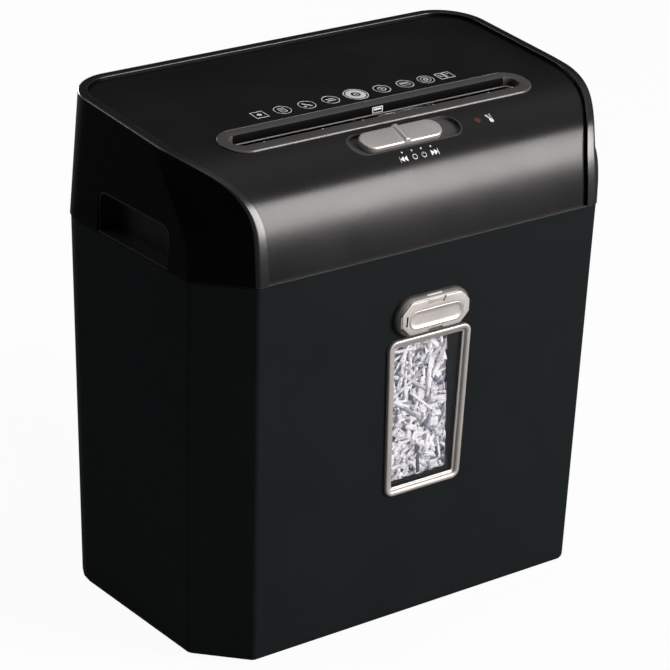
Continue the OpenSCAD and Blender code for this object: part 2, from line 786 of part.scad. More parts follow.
plunger_r = 2.5;
plunger_travel = 3;
plunger_top = tray_floor + 11;
switch_h = 10;
module tray_posts() {
    at_board_corners() translate([0, 0, tray_floor - 1]) difference() {
        cylinder(h = board_z - tray_floor + 1, r = 3);
        translate([0, 0, 2]) cylinder(h = 20, r = 1.2);
    }
    for (side = [-1, 1])
        translate([interlock_x + side * 7.5, interlock_y, tray_floor - 1]) translate([-1.5, -3.5, 0])
            cube([3, 7, plunger_top + pin_gap - tray_floor + 1]);
}

module tray_screws() {
    color("silver")
    for (side = [-1, 1], y = screw_ys) translate([side * screw_x, y, 0]) {
        translate([0, 0, bin_h - 1.8]) cylinder(h = 1.8, r = 2.7);
        translate([0, 0, bin_h - 1]) cylinder(h = 12, r = screw_r - press_gap);
    }
}

module cord_gland() {
    wall_out = head_rear(gland_z);
    color([0.05, 0.05, 0.05])
    translate([gland_x, 0, gland_z]) rotate([-90, 0, 0]) difference() {
        union() {
            translate([0, 0, wall_out - casing_wall - 3]) cylinder(h = casing_wall + 4, r = gland_r);
            translate([0, 0, wall_out + 0.5]) cylinder(h = 2.5, r = gland_r + 2);
            translate([0, 0, wall_out - casing_wall - 4]) cylinder(h = 2, r = gland_r + 1.5);
        }
        translate([0, 0, wall_out - 20]) cylinder(h = 40, r = 3.6);
    }
}

// ================= head: cutter block =================
module plate_cuts() {
    for (p = [axis_front, axis_rear]) bar_x(-bin_w, bin_w, p, bush_r + press_gap);
    for (p = rods) bar_x(-bin_w, bin_w, p, rod_r + 0.1);
}

module side_plate_left() {
    color([0.7, 0.71, 0.72])
    difference() {
        along_x(-plate_out, -plate_x) polygon([[plate_front, tray_floor], [plate_rear, tray_floor],
            [plate_rear, plate_top - 6], [plate_rear - 6, plate_top], [plate_front + 6, plate_top],
            [plate_front, plate_top - 6]]);
        plate_cuts();
    }
}

motor_pilot_r = 12;
module side_plate_right() {
    high = axis_motor.y + motor_r + 3;
    far = axis_motor.x + motor_r + 2;
    post_top = plate_posts[0].y + post_r + 2;
    color([0.7, 0.71, 0.72])
    difference() {
        along_x(plate_x, plate_out) polygon([[plate_front, tray_floor], [far, tray_floor],
            [far, high - 8], [far - 8, high], [axis_motor.x - 22, high], [plate_rear - 2, post_top],
            [plate_posts[0].x - 8, post_top], [plate_front + 6, plate_top], [plate_front, plate_top - 6]]);
        plate_cuts();
        bar_x(0, bin_w, axis_motor, motor_pilot_r + 0.1);
        for (p = [idler_a, idler_b]) bar_x(0, bin_w, p, pin_r + press_gap);
        for (p = plate_posts) bar_x(0, bin_w, p, screw_r + press_gap);
    }
}

module tie_rods() {
    color([0.75, 0.75, 0.75])
    for (p = rods) {
        bar_x(-plate_x, plate_x, p, rod_r + 1);
        bar_x(-plate_out - 3.2, plate_out + 3.2, p, rod_r);
    }
}

module tie_nuts() {
    color([0.8, 0.8, 0.78])
    for (p = rods, side = [-1, 1])
        translate([side * (plate_out + 1.3), p.x, p.y]) rotate([0, 90, 0]) difference() {
            cylinder(h = 2.6, r = rod_r * 1.75, center = true, $fn = 6);
            cylinder(h = 4, r = rod_r + press_gap, center = true, $fn = 48);
        }
}

module bushes() {
    color([0.72, 0.55, 0.3])
    for (p = [axis_front, axis_rear]) mirrored() difference() {
        union() {
            bar_x(plate_x, plate_out, p, bush_r);
            bar_x(plate_out, plate_out + flange_t, p, flange_r);
        }
        bar_x(0, bin_w, p, journal_r + run_fit);
    }
}

// A cutter roller turned from one bar: journals, core and discs, as (radius, place along the axis).
function disc_x(i, shift) = (i - (discs - 1) / 2) * disc_pitch + shift;
module roller(axis, left, right, shift) {
    w = disc_w / 2;
    profile = concat([[0, left], [journal_r, left], [journal_r, -core_half], [core_r, -core_half]],
        [for (i = [0:discs - 1]) let (x = disc_x(i, shift)) each
            [[core_r, x - w], [disc_r, x - w], [disc_r, x + w], [core_r, x + w]]],
        [[core_r, core_half], [journal_r, core_half], [journal_r, right], [0, right]]);
    translate([0, axis.x, axis.y]) rotate([0, 90, 0]) rotate_extrude() polygon(profile);
}

sync_low = -gear_x - gear_w * 1.6;
module cutter_front() {
    color([0.62, 0.63, 0.65]) roller(axis_front, sync_low - 0.6, plate_out + flange_t + 0.2, -disc_pitch / 4);
}

module cutter_rear() {
    color([0.62, 0.63, 0.65]) roller(axis_rear, sync_low - 0.6, outer_plate_x + outer_plate_t,
        disc_pitch / 4);
}

// Fingers that lift the paper off one roller; side is -1 in front of it and 1 behind it.
module stripper(axis, side, shift) {
    bar_in = disc_r + 2;
    bar_t = 3;
    tall = 9;
    reach = [axis.x + side * core_r * 0.8, axis.x + side * (bar_in + 0.5)];
    color([0.16, 0.16, 0.17])
    difference() {
        union() {
            box_between([-plate_x, min(axis.x + side * bar_in, axis.x + side * (bar_in + bar_t)),
                axis.y - tall],
                [plate_x, max(axis.x + side * bar_in, axis.x + side * (bar_in + bar_t)), axis.y + tall]);
            for (i = [0:discs - 2]) let (x = disc_x(i, shift) + disc_pitch / 2)
                box_between([x - finger_w / 2, min(reach), axis.y - tall + 2],
                    [x + finger_w / 2, max(reach), axis.y + tall - 2]);
        }
        bar_x(-bin_w, bin_w, axis, core_r + 0.6);
    }
}

module stripper_front() {
    stripper(axis_front, -1, -disc_pitch / 4);
}

module stripper_rear() {
    stripper(axis_rear, 1, disc_pitch / 4);
}

// ================= head: gears =================
tip_share = 0.75;
root_share = 1.1;
// A toothed outline on (y, z), with a tooth centred at the angle phase.
function gear_outline(teeth, size, phase) =
    let (pitch_r = teeth * size / 2, tip = pitch_r + tip_share * size, root = pitch_r - root_share * size,
        q = 360 / teeth)
    [for (i = [0:teeth - 1], s = [[root, -0.29], [tip, -0.1], [tip, 0.1], [root, 0.29]])
        polar(s[0], phase + q * (i + s[1]))];
// The phase of wheel b that sets its tooth gap against wheel a's tooth.
function mesh_phase(ca, ta, pa, cb, tb) =
    let (dir = atan2(cb.y - ca.y, cb.x - ca.x)) dir + 180 - (0.5 - ta * (dir - pa) / 360) * 360 / tb;

module gear(centre, teeth, size, phase, x0, x1) {
    along_x(x0, x1) translate(centre) polygon(gear_outline(teeth, size, phase));
}

size_a = 2 * link_a / (motor_teeth + idler_a_teeth);
size_b = 2 * link_b / (small_teeth + idler_b_teeth);
size_c = 2 * link_c / (small_teeth + drive_teeth);
size_sync = cutter_pitch / sync_teeth;
pinion_bore = motor_teeth * size_a / 2 - root_share * size_a - 0.9;

module sync_gear_front() {
    color([0.55, 0.56, 0.58]) difference() {
        gear(axis_front, sync_teeth, size_sync, 0, sync_low, -gear_x);
        bar_x(-bin_w, 0, axis_front, journal_r + press_gap);
    }
}

module sync_gear_rear() {
    color([0.55, 0.56, 0.58]) difference() {
        gear(axis_rear, sync_teeth, size_sync,
            mesh_phase(axis_front, sync_teeth, 0, axis_rear, sync_teeth), sync_low, -gear_x);
        bar_x(-bin_w, 0, axis_rear, journal_r + press_gap);
    }
}

module drive_gear() {
    color([0.55, 0.56, 0.58]) difference() {
        union() {
            gear(axis_rear, drive_teeth, size_c, 0, layer_x(2), layer_x(2) + gear_w);
            bar_x(layer_x(1), layer_x(2), axis_rear, journal_r + 4);
        }
        bar_x(0, bin_w, axis_rear, journal_r + press_gap);
    }
}

module idler_gear_b() {
    color([0.82, 0.8, 0.74]) difference() {
        union() {
            gear(idler_b, idler_b_teeth, size_b, 0, layer_x(1), layer_x(1) + gear_w);
            gear(idler_b, small_teeth, size_c, mesh_phase(axis_rear, drive_teeth, 0, idler_b, small_teeth),
                layer_x(1) + gear_w - 0.5, layer_x(2) + gear_w);
        }
        bar_x(0, bin_w, idler_b, pin_r + run_fit);
    }
}

module idler_gear_a() {
    color([0.82, 0.8, 0.74]) difference() {
        union() {
            gear(idler_a, idler_a_teeth, size_a, 0, layer_x(0), layer_x(0) + gear_w);
            gear(idler_a, small_teeth, size_b, mesh_phase(idler_b, idler_b_teeth, 0, idler_a, small_teeth),
                layer_x(0) + gear_w - 0.5, layer_x(1) + gear_w);
        }
        bar_x(0, bin_w, idler_a, pin_r + run_fit);
    }
}

module idler_pins() {
    color([0.75, 0.75, 0.76]) {
        for (p = [idler_a, idler_b]) bar_x(plate_x, outer_plate_x + outer_plate_t, p, pin_r);
        bar_x(plate_out, layer_x(0) - 0.3, idler_a, pin_r + 2);
        bar_x(plate_out, layer_x(1) - 0.3, idler_b, pin_r + 0.6);
    }
}

// Posts that carry the outer plate, clear of every wheel.
plate_posts = [axis_rear + [-28.5, 29], axis_motor + [16, 13], axis_motor + [9, -42]];
post_r = 3.2;
module gear_plate() {
    color([0.7, 0.71, 0.72])
    difference() {
        union() {
            along_x(outer_plate_x, outer_plate_x + outer_plate_t) hull()
                for (p = concat(plate_posts, [axis_rear])) translate(p) circle(7, $fn = 32);
            for (p = plate_posts) bar_x(plate_out, outer_plate_x + 0.2, p, post_r);
        }
        bar_x(0, bin_w, axis_rear, journal_r + run_fit);
        for (p = [idler_a, idler_b]) bar_x(0, bin_w, p, pin_r + press_gap);
        for (p = plate_posts) bar_x(0, bin_w, p, screw_r + press_gap);
    }
}

module gear_plate_screws() {
    color("silver")
    for (p = plate_posts) {
        bar_x(plate_x, outer_plate_x + outer_plate_t, p, screw_r);
        bar_x(outer_plate_x + outer_plate_t, outer_plate_x + outer_plate_t + 1.6, p, post_r - 0.4);
    }
}

// ================= head: motor =================
motor_x = plate_x - motor_l;
can_wall = 2.2;
module motor_can() {
    color([0.6, 0.61, 0.62])
    difference() {
        union() {
            bar_x(motor_x, plate_x, axis_motor, motor_r);
            bar_x(plate_x, plate_out, axis_motor, motor_pilot_r);
        }
        bar_x(motor_x + 3, plate_x - 3, axis_motor, motor_r - can_wall);
        bar_x(0, bin_w, axis_motor, motor_shaft_r + run_fit);
        for (k = [0:5]) translate([motor_x - 1, axis_motor.x, axis_motor.y]) rotate([60 * k, 0, 0])
            translate([0, -3, 12]) cube([5, 6, 9]);
    }
}

module motor_rotor() {
    color([0.5, 0.4, 0.32]) {
        bar_x(motor_x - 18, layer_x(0), axis_motor, motor_shaft_r);
        bar_x(layer_x(0) - 0.5, layer_x(0) + gear_w, axis_motor, pinion_bore - press_gap);
        bar_x(motor_x + 12, plate_x - 20, axis_motor, motor_r - can_wall - 5);
        bar_x(plate_x - 20, plate_x - 8, axis_motor, 11);
    }
}

module motor_fan() {
    color([0.2, 0.2, 0.21])
    difference() {
        union() {
            bar_x(motor_x - 15, motor_x - 3, axis_motor, 8);
            for (k = [0:7]) translate([motor_x - 14, axis_motor.x, axis_motor.y]) rotate([45 * k, 0, 0])
                translate([0, -0.9, 6]) cube([9, 1.8, motor_r - 10]);
        }
        bar_x(0, bin_w, axis_motor, motor_shaft_r + press_gap);
    }
}

module motor_pinion() {
    color([0.72, 0.6, 0.35])
    difference() {
        gear(axis_motor, motor_teeth, size_a,
            mesh_phase(idler_a, idler_a_teeth, 0, axis_motor, motor_teeth), layer_x(0) + 0.2,
                layer_x(0) + gear_w - 0.2);
        bar_x(0, bin_w, axis_motor, pinion_bore);
    }
}

module motor_cradle() {
    color([0.16, 0.16, 0.17])
    for (x = [motor_x + 10, plate_x - 26]) difference() {
        along_x(x, x + 10) polygon([[axis_motor.x - 24, tray_floor], [axis_motor.x + 24, tray_floor],
            [axis_motor.x + 24, axis_motor.y - 8], [axis_motor.x - 24, axis_motor.y - 8]]);
        bar_x(0, bin_w, axis_motor, motor_r + case_fit / 2);
    }
}

module thermal_cutout() {
    top = axis_motor.y + motor_r;
    color([0.2, 0.2, 0.22]) {
        box_between([motor_x + 30, motor_y - 4, top + case_fit],
            [motor_x + 46, motor_y + 4, top + case_fit + 4]);
        for (x = [motor_x + 46, motor_x + 26.5])
            box_between([x, motor_y - 2, top + 2], [x + 3.5, motor_y + 2, top + 2.8]);
    }
}

// ================= head: electrics =================
module control_board() {
    color([0.1, 0.32, 0.18])
    difference() {
        box_between([board_x[0], board_y[0], board_z], [board_x[1], board_y[1], board_z + board_t]);
        at_board_corners() translate([0, 0, board_z - 1]) cylinder(h = 4, r = 1.4);
    }
}

module board_parts() {
    top = board_z + board_t;
    color([0.15, 0.2, 0.45]) {
        box_between([board_x[0] + 10, board_y[0] + 6, top], [board_x[0] + 28, board_y[0] + 20, top + 15]);
        box_between([board_x[0] + 12, board_y[1] - 12, top], [board_x[0] + 40, board_y[1] - 3, top + 11]);
        box_between([board_x[1] - 36, board_y[0] + 5, top], [board_x[1] - 12, board_y[0] + 9, top + 22]);
        for (k = [0:2]) translate([board_x[0] + 40 + 13 * k, board_y[0] + 14, top])
            cylinder(h = 18 - 4 * k, r = 5.5);
        translate([board_x[1] - 20, board_y[1] - 14, top]) cylinder(h = 9, r = 9);
    }
}

module board_screws() {
    color("silver") at_board_corners() {
        translate([0, 0, board_z + board_t]) cylinder(h = 1.4, r = 2.6);
        translate([0, 0, board_z - 4]) cylinder(h = 6, r = 1.2 - press_gap);
    }
}

recess_w = slider_w + 3 * switch_step + 2.4;
recess_h = slider_h + 4;
recess_floor = -2.6;
recess_t = 1.4;
stem_w = 8;
stem_t = 4;
module switch_recess() {
    color([0.05, 0.05, 0.055])
    difference() {
        intersection() {
            union() {
                on_panel(switch_x, switch_y) translate([0, 0, -7]) linear_extrude(20)
                    obround(recess_w, recess_h);
                on_panel(switch_x, switch_y) for (side = [-1, 1])
                    translate([side * 24 - 2, -3, -9]) cube([4, 6, 5]);
            }
            under_fall(panel_drop);
            on_panel(switch_x, switch_y) translate([-recess_w, -recess_h, -9])
                cube([2 * recess_w, 2 * recess_h, 30]);
        }
        on_panel(switch_x, switch_y) translate([0, 0, recess_floor]) linear_extrude(20)
            obround(recess_w - 1.6, recess_h - 1.6);
        on_panel(switch_x, switch_y) difference() {
            translate([-recess_w, -recess_h, -10])
                cube([2 * recess_w, 2 * recess_h, 10 + recess_floor - recess_t]);
            linear_extrude(40, center = true) for (side = [-1, 1]) translate([side * 24, 0])
                square([4, 6], center = true);
        }
        on_panel(switch_x, switch_y) linear_extrude(40, center = true)
            square([stem_w + 3 * switch_step + 1.2, stem_t + 0.8], center = true);
    }
}

ridge_w = 4;
module switch_slider() {
    crown = 46;
    top = slider_proud + recess_floor;
    color([0.74, 0.72, 0.69])
    on_panel(switch_x - switch_step / 2, switch_y) {
        intersection() {
            translate([0, 0, recess_floor + case_fit]) linear_extrude(slider_proud + 3)
                obround(slider_w, slider_h);
            union() {
                translate([0, 0, top + 1.6 - crown]) rotate([0, 90, 0])
                    cylinder(h = slider_w + 2, r = crown, center = true, $fn = 96);
                translate([0, 0, top + 2.9 - crown]) rotate([0, 90, 0])
                    cylinder(h = ridge_w, r = crown, center = true, $fn = 96);
            }
        }
        translate([-stem_w / 2, -stem_t / 2, -8.6])
            cube([stem_w, stem_t, 8.6 + recess_floor + case_fit + 0.5]);
    }
}

module switch_body() {
    color([0.12, 0.12, 0.12])
    on_panel(switch_x, switch_y) translate([-28, -6, -17]) cube([56, 12, 8]);
}

module status_lamp() {
    color([0.8, 0.06, 0.05])
    on_panel(lamp_x, switch_y - 2) translate([0, 0, -5]) {
        cylinder(h = 5.4, r = lamp_r);
        cylinder(h = 1.2, r = lamp_r + 0.8);
    }
}

module sensor_lever() {
    tip = [slot_y - 2.6, lever_pivot.y - 5];
    flag = [lever_pivot.x + 10.5, lever_pivot.y + 2];
    color([0.85, 0.85, 0.83])
    difference() {
        union() {
            bar_x(-lever_w / 2, lever_w / 2, lever_pivot, 3);
            bar_x(-lever_w / 2 - 2.5 - ear_t - 0.5, lever_w / 2 + 2.5 + ear_t + 0.5, lever_pivot,
                lever_pin_r);
            along_x(-lever_w / 2, lever_w / 2) {
                arm(lever_pivot, tip, 1.1);
                arm(lever_pivot, flag, 1);
            }
        }
    }
}

// A straight arm on (y, z) from a to b, half thick each side.
module arm(a, b, half) {
    u = unit(b - a);
    n = [-u.y, u.x] * half;
    polygon([a + n, a - n, b - n, b + n]);
}

module sensor_gate() {
    y0 = lever_pivot.x + 6;
    color([0.07, 0.07, 0.08]) {
        box_between([-6, y0, shelf_z], [6, y0 + 8, shelf_z + 2.4]);
        for (side = [-1, 1]) translate([side * 4.6 - 1.4, y0, shelf_z + 2]) cube([2.8, 8, 12]);
    }
}

module interlock_plunger() {
    color([0.8, 0.2, 0.15])
    translate([interlock_x, interlock_y, 0]) {
        translate([0, 0, shelf_top + pin_gap]) cylinder(h = plunger_top - shelf_top - pin_gap, r = plunger_r);
        translate([0, 0, tray_floor + plunger_travel + 0.5]) cylinder(h = 2, r = plunger_r + 1.6);
    }
}

module interlock_switch() {
    low = plunger_top + pin_gap;
    color([0.1, 0.1, 0.1])
        box_between([interlock_x - 10, interlock_y - 3.2, low],
            [interlock_x + 10, interlock_y + 3.2, low + switch_h]);
    color("silver") for (k = [-1:1])
        box_between([interlock_x + 7 * k - 1.5, interlock_y - 0.4, low + switch_h],
            [interlock_x + 7 * k + 1.5, interlock_y + 0.4, low + switch_h + 4]);
}

waste_bin();
bin_feet();
window_frame();
window_pane();
window_sleeve();
badge_plate();
badge_oval();
paper_shreds();
head_casing();
control_panel();
slot_collar();
guide_front();
guide_rear();
grip_liners();
head_tray();
tray_screws();
cord_gland();
side_plate_left();
side_plate_right();
tie_rods();
tie_nuts();
bushes();
cutter_front();
cutter_rear();
stripper_front();
stripper_rear();
sync_gear_front();
sync_gear_rear();
drive_gear();
idler_gear_a();
idler_gear_b();
idler_pins();
gear_plate();
gear_plate_screws();
motor_can();
motor_rotor();
motor_fan();
motor_pinion();
motor_cradle();
thermal_cutout();
control_board();
board_parts();
board_screws();
switch_recess();
switch_slider();
switch_body();
status_lamp();
sensor_lever();
sensor_gate();
interlock_plunger();
interlock_switch();
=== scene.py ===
# %% [markdown]
# # A desk-side paper shredder
# The shredder is a cutter head that sits on a tapered waste bin. The solid model
# gives every piece its place and its motion. This lesson gives the pieces their
# skins: smooth mouldings, silver trim, a window full of cut paper and the prints.
# We load the solid model first, because everything else is placed from it.

# %% Load the solid model
import json
import math
import bpy
import bmesh
import numpy as np
from mathutils import Matrix, Vector

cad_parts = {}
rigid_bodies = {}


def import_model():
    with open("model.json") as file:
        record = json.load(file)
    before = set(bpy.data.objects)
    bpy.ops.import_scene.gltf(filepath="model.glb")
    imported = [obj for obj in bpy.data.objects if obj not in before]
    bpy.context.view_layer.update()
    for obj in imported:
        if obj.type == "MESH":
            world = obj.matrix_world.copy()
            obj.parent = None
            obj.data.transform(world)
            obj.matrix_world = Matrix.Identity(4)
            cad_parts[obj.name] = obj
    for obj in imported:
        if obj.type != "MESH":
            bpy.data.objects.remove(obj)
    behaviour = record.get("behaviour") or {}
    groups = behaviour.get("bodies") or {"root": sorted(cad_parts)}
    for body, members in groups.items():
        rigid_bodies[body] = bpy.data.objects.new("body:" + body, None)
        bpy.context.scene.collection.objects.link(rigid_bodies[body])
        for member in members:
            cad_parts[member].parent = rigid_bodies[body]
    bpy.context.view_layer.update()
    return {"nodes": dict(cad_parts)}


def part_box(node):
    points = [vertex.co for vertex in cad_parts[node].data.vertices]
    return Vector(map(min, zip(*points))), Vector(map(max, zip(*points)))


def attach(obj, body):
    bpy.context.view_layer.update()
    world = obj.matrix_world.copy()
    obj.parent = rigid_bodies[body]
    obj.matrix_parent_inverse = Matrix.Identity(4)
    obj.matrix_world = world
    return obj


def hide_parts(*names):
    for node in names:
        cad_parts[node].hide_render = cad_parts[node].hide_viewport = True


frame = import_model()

nodes = frame["nodes"]

# %% [markdown]
# ## Camera
# The camera stands to the left of the machine's front and looks down on it. We
# build its axes from three angles, so each one can be read on its own: how far
# round, how high, and how much the picture leans.

# %% Camera
MM = 0.001


def aim_camera(turn, rise, lean, distance, target, slide, lens):
    """Look along (sin turn cos rise, cos turn cos rise, -sin rise) from a distance.

    The right-hand axis lies level, the up axis is their cross product, and both
    are then turned by lean about the line of sight. slide moves the camera
    sideways and up in its own picture plane.
    """
    a, e, r = (math.radians(v) for v in (turn, rise, lean))
    ahead = Vector((math.sin(a) * math.cos(e), math.cos(a) * math.cos(e), -math.sin(e)))
    level = Vector((math.cos(a), -math.sin(a), 0.0))
    upright = level.cross(ahead)
    side = level * math.cos(r) + upright * math.sin(r)
    top = upright * math.cos(r) - level * math.sin(r)
    data = bpy.data.cameras.new("camera")
    data.sensor_width = 36.0
    data.lens = lens
    data.clip_start, data.clip_end = 0.05, 40.0
    cam = bpy.data.objects.new("camera", data)
    cam.rotation_mode = "QUATERNION"
    cam.rotation_quaternion = Matrix((side, top, -ahead)).transposed().to_quaternion()
    cam.location = Vector(target) - ahead * distance - side * slide[0] - top * slide[1]
    bpy.context.scene.collection.objects.link(cam)
    bpy.context.scene.camera = cam
    return cam


camera = aim_camera(turn=37.42, rise=23.115, lean=1.77, distance=1.961, target=(0, 0, 0.1552),
                    slide=(0.00495, -0.00842), lens=163.5)
print("camera at", [round(c, 3) for c in camera.location])

# %% [markdown]
# ## Helpers for meshes
# A worked-out surface is a grid of points. `weave` turns a block of points with
# rows and columns into quads with plain array arithmetic, and `make` puts points
# and faces into an object. Everything is computed in millimetres and scaled once.

# %% From points to an object
def weave(rows, cols, wrap_rows=False, wrap_cols=False, start=0):
    """Quads of a grid: each joins point (i, j) to (i+1, j), (i+1, j+1) and (i, j+1)."""
    i = np.arange(rows if wrap_rows else rows - 1)
    j = np.arange(cols if wrap_cols else cols - 1)
    i, j = (m.ravel() for m in np.meshgrid(i, j, indexing="ij"))
    i2, j2 = (i + 1) % rows, (j + 1) % cols
    return start + np.stack([i * cols + j, i2 * cols + j, i2 * cols + j2, i * cols + j2], axis=1)


def finish_shading(mesh, angle):
    """Smooth shading with sharp edges where two faces bend by more than angle degrees."""
    mesh.polygons.foreach_set("use_smooth", np.ones(len(mesh.polygons), bool))
    mesh.set_sharp_from_angle(angle=math.radians(angle))
    mesh.update()


def place_object(name, mesh, body):
    """An object at the origin that rides on a body."""
    obj = bpy.data.objects.new(name, mesh)
    bpy.context.scene.collection.objects.link(obj)
    if body:
        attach(obj, body)
    return obj


def make(name, points, faces, body, weld=0.002, angle=32):
    """An object from points in millimetres, welded, with its normals turned outwards.

    Two points closer than weld become one. Edges that bend by more than angle
    degrees stay sharp, and all others are shaded smooth.
    """
    mesh = bpy.data.meshes.new(name)
    corners = np.asarray(points, float).reshape(-1, 3) * MM
    mesh.from_pydata(corners.tolist(), [], [list(map(int, f)) for f in faces])
    bm = bmesh.new()
    bm.from_mesh(mesh)
    bmesh.ops.remove_doubles(bm, verts=bm.verts, dist=weld * MM)
    bmesh.ops.dissolve_degenerate(bm, edges=bm.edges, dist=weld * MM * 0.5)
    bmesh.ops.recalc_face_normals(bm, faces=bm.faces)
    bm.to_mesh(mesh)
    bm.free()
    finish_shading(mesh, angle)
    return place_object(name, mesh, body)


print("weave makes", len(weave(3, 4)), "quads of a 3 by 4 grid")

# %% [markdown]
# Some shapes need a little more: several grids in one piece, a mirror image, or a
# modifier that is baked in at once so that the next step can build on its result.

# %% Joining, mirroring and baking
def join_grids(grids):
    """Stack several (points, faces) pairs into one pair."""
    points, faces, base = [], [], 0
    for p, f in grids:
        p = np.asarray(p, float).reshape(-1, 3)
        points.append(p)
        faces += [tuple(int(v) + base for v in q) for q in f]
        base += len(p)
    return np.vstack(points), faces


def mirrored(points, faces):
    """The same piece on the other side of the middle plane, with its faces turned round."""
    return points * np.array([-1.0, 1.0, 1.0]), [tuple(reversed(f)) for f in faces]


def apply_modifier(obj, kind, **settings):
    """Add one modifier and bake it into the mesh at once."""
    mod = obj.modifiers.new(kind.lower(), kind)
    for key, value in settings.items():
        setattr(mod, key, value)
    graph = bpy.context.evaluated_depsgraph_get()
    baked = bpy.data.meshes.new_from_object(obj.evaluated_get(graph))
    obj.modifiers.clear()
    old, obj.data = obj.data, baked
    bpy.data.meshes.remove(old)
    return obj


def middles_and_normals(obj):
    """Middle point in millimetres and normal of every face, as two arrays."""
    middle = np.array([p.center[:] for p in obj.data.polygons]) / MM
    return middle, np.array([p.normal[:] for p in obj.data.polygons])


print("mesh helpers ready")

# %% [markdown]
# ## Materials
# Almost all of this machine is moulded black plastic, so the finishes differ in
# how they shine, not in colour. A finish is a small network of shader nodes. Two
# helpers keep such a network short enough to read: `add` makes a node with its
# inputs set, and `wire` joins sockets.

# %% Node helpers
def add(tree, kind, **values):
    """A new shader node with its named inputs set. An underscore stands for a space."""
    made = tree.nodes.new("ShaderNode" + kind)
    for name, value in values.items():
        made.inputs[name.replace("_", " ")].default_value = value
    return made


def wire(tree, *links):
    """Join sockets: each link is (node, its output, node, its input)."""
    for source, output, target, entry in links:
        tree.links.new(source.outputs[output], target.inputs[entry])


def colour_mix(tree, first=(0, 0, 0), second=(0, 0, 0)):
    """A colour mix node. Its factor is input 0, its two colours are 6 and 7, and its result is output 2."""
    mix = add(tree, "Mix")
    mix.data_type = "RGBA"
    mix.inputs[6].default_value = (*first, 1)
    mix.inputs[7].default_value = (*second, 1)
    return mix


def find(tree, kind):
    """The first node of this type in a finished network."""
    return next(n for n in tree.nodes if n.type == kind)


print("node helpers ready")

# %% [markdown]
# Each finish gets its own fine grain: noise at two scales drives tone, roughness
# and bump. The scale is per metre, so a grain of half a millimetre needs a noise
# scale near 2000.

# %% Material helper
ROUGH_WANDER = 0.06


def finish(name, colour, rough, metal=0.0, grain=1800, bump=0.02, mottle=0.12, specular=0.5,
           patch=22.0, depth=0.0002):
    """A moulded or metal finish on the principled shader.

    Colour runs from (1 - mottle) to (1 + mottle) times the base with the patch
    noise, and roughness from rough - 0.06 to rough + 0.06. The bump is fine noise
    of the given grain, with its height in metres.
    """
    mat = bpy.data.materials.new(name)
    mat.use_nodes = True
    tree = mat.node_tree
    shader = tree.nodes["Principled BSDF"]
    place = add(tree, "TexCoord")
    broad = add(tree, "TexNoise", Scale=patch, Detail=3.0)
    fine = add(tree, "TexNoise", Scale=grain, Detail=2.0)
    tone = colour_mix(tree, [c * (1 - mottle) for c in colour], [min(c * (1 + mottle), 1.0) for c in colour])
    low, high = max(rough - ROUGH_WANDER, 0.02), min(rough + ROUGH_WANDER, 1.0)
    spread = add(tree, "MapRange", To_Min=low, To_Max=high)
    dent = add(tree, "Bump", Strength=bump, Distance=depth)
    wire(tree, (place, "Object", broad, "Vector"), (place, "Object", fine, "Vector"),
         (broad, "Fac", tone, 0), (tone, 2, shader, "Base Color"),
         (broad, "Fac", spread, "Value"), (spread, "Result", shader, "Roughness"),
         (fine, "Fac", dent, "Height"), (dent, "Normal", shader, "Normal"))
    shader.inputs["Metallic"].default_value = metal
    shader.inputs["Specular IOR Level"].default_value = specular
    return mat


def wear(obj, *mats):
    """Give an object these materials in place of all it had."""
    obj.data.materials.clear()
    for mat in mats:
        obj.data.materials.append(mat)
    return obj


print("roughness wanders by", ROUGH_WANDER)

# %% [markdown]
# The panel and the rim are polished, the casing and the bin are dull. Their
# specular level is set low, because a matt grain hides most of the reflection
# that a smooth plastic would show.

# %% Black finishes
satin_black = finish("satin black panel", (0.006, 0.0057, 0.0057), 0.28, grain=2600, bump=0.012,
                     specular=0.26)
casing_black = finish("satin black casing", (0.0018, 0.0017, 0.0016), 0.4, grain=2600, bump=0.05,
                      specular=0.03)
rim_black = finish("polished rim", (0.0045, 0.0044, 0.0043), 0.27, grain=2600, bump=0.012, specular=0.46)
bin_black = finish("grained bin plastic", (0.0074, 0.0092, 0.0097), 0.52, grain=1500, bump=0.35,
                   specular=0.03)
collar_black = finish("collar plastic", (0.070, 0.065, 0.064), 0.26, grain=3000, bump=0.03, specular=0.4)
# Polished lip: a pale half-metal whose colour partly paints the line of light in the slot's throat.
polished_lip_glint = finish("polished lip with painted highlight", (0.62, 0.60, 0.57), 0.22, metal=0.7, grain=2600, bump=0.03)
# Painted highlight: a pale grey for the thin line of light on the collar's rear edge.
painted_edge_highlight = finish("painted highlight on ring edge", (0.40, 0.385, 0.37), 0.35, grain=2600, bump=0.03, specular=0.4)
# On the window sleeve this is the part's own black; on the slot's flare and in the badge's slits it is
# painted shade.
black_and_painted_shade = finish("black plastic and painted shade", (0.0018, 0.0018, 0.002), 0.6, grain=2000, bump=0.1, specular=0.04)
recess_grey = finish("recess plastic", (0.050, 0.048, 0.050), 0.42, grain=2400, bump=0.08, specular=0.3)
print("black finishes ready")

# %% [markdown]
# ## The shape of the head
# One curve gives the head its look: a top that tilts gently up to the rear, and
# then falls over the front like water over a weir. We keep that curve as a dense
# line of (y, z) points. Moving it inwards along its normal gives the surface of
# every layer under it, so the casing and the panel always stay parallel.

# %% The falling curve
SEAM_Z = 256.2                    # the head's lower edge
BIN_TOP = 255.0
RIM_Z = 74.7                      # height of the tilted top above the bin, at y = 0
TOP_TILT = math.radians(4.6)
CREST_Y, CREST_REACH = -7.5, 70.0   # where the straight top ends, and its handle
FOOT_Y, FOOT_REACH = -88.5, 56.0    # the foot of the fall, and its handle
FOOT_LEAN = math.radians(3.1)
STRAIGHT_N = 200                  # points on the straight part


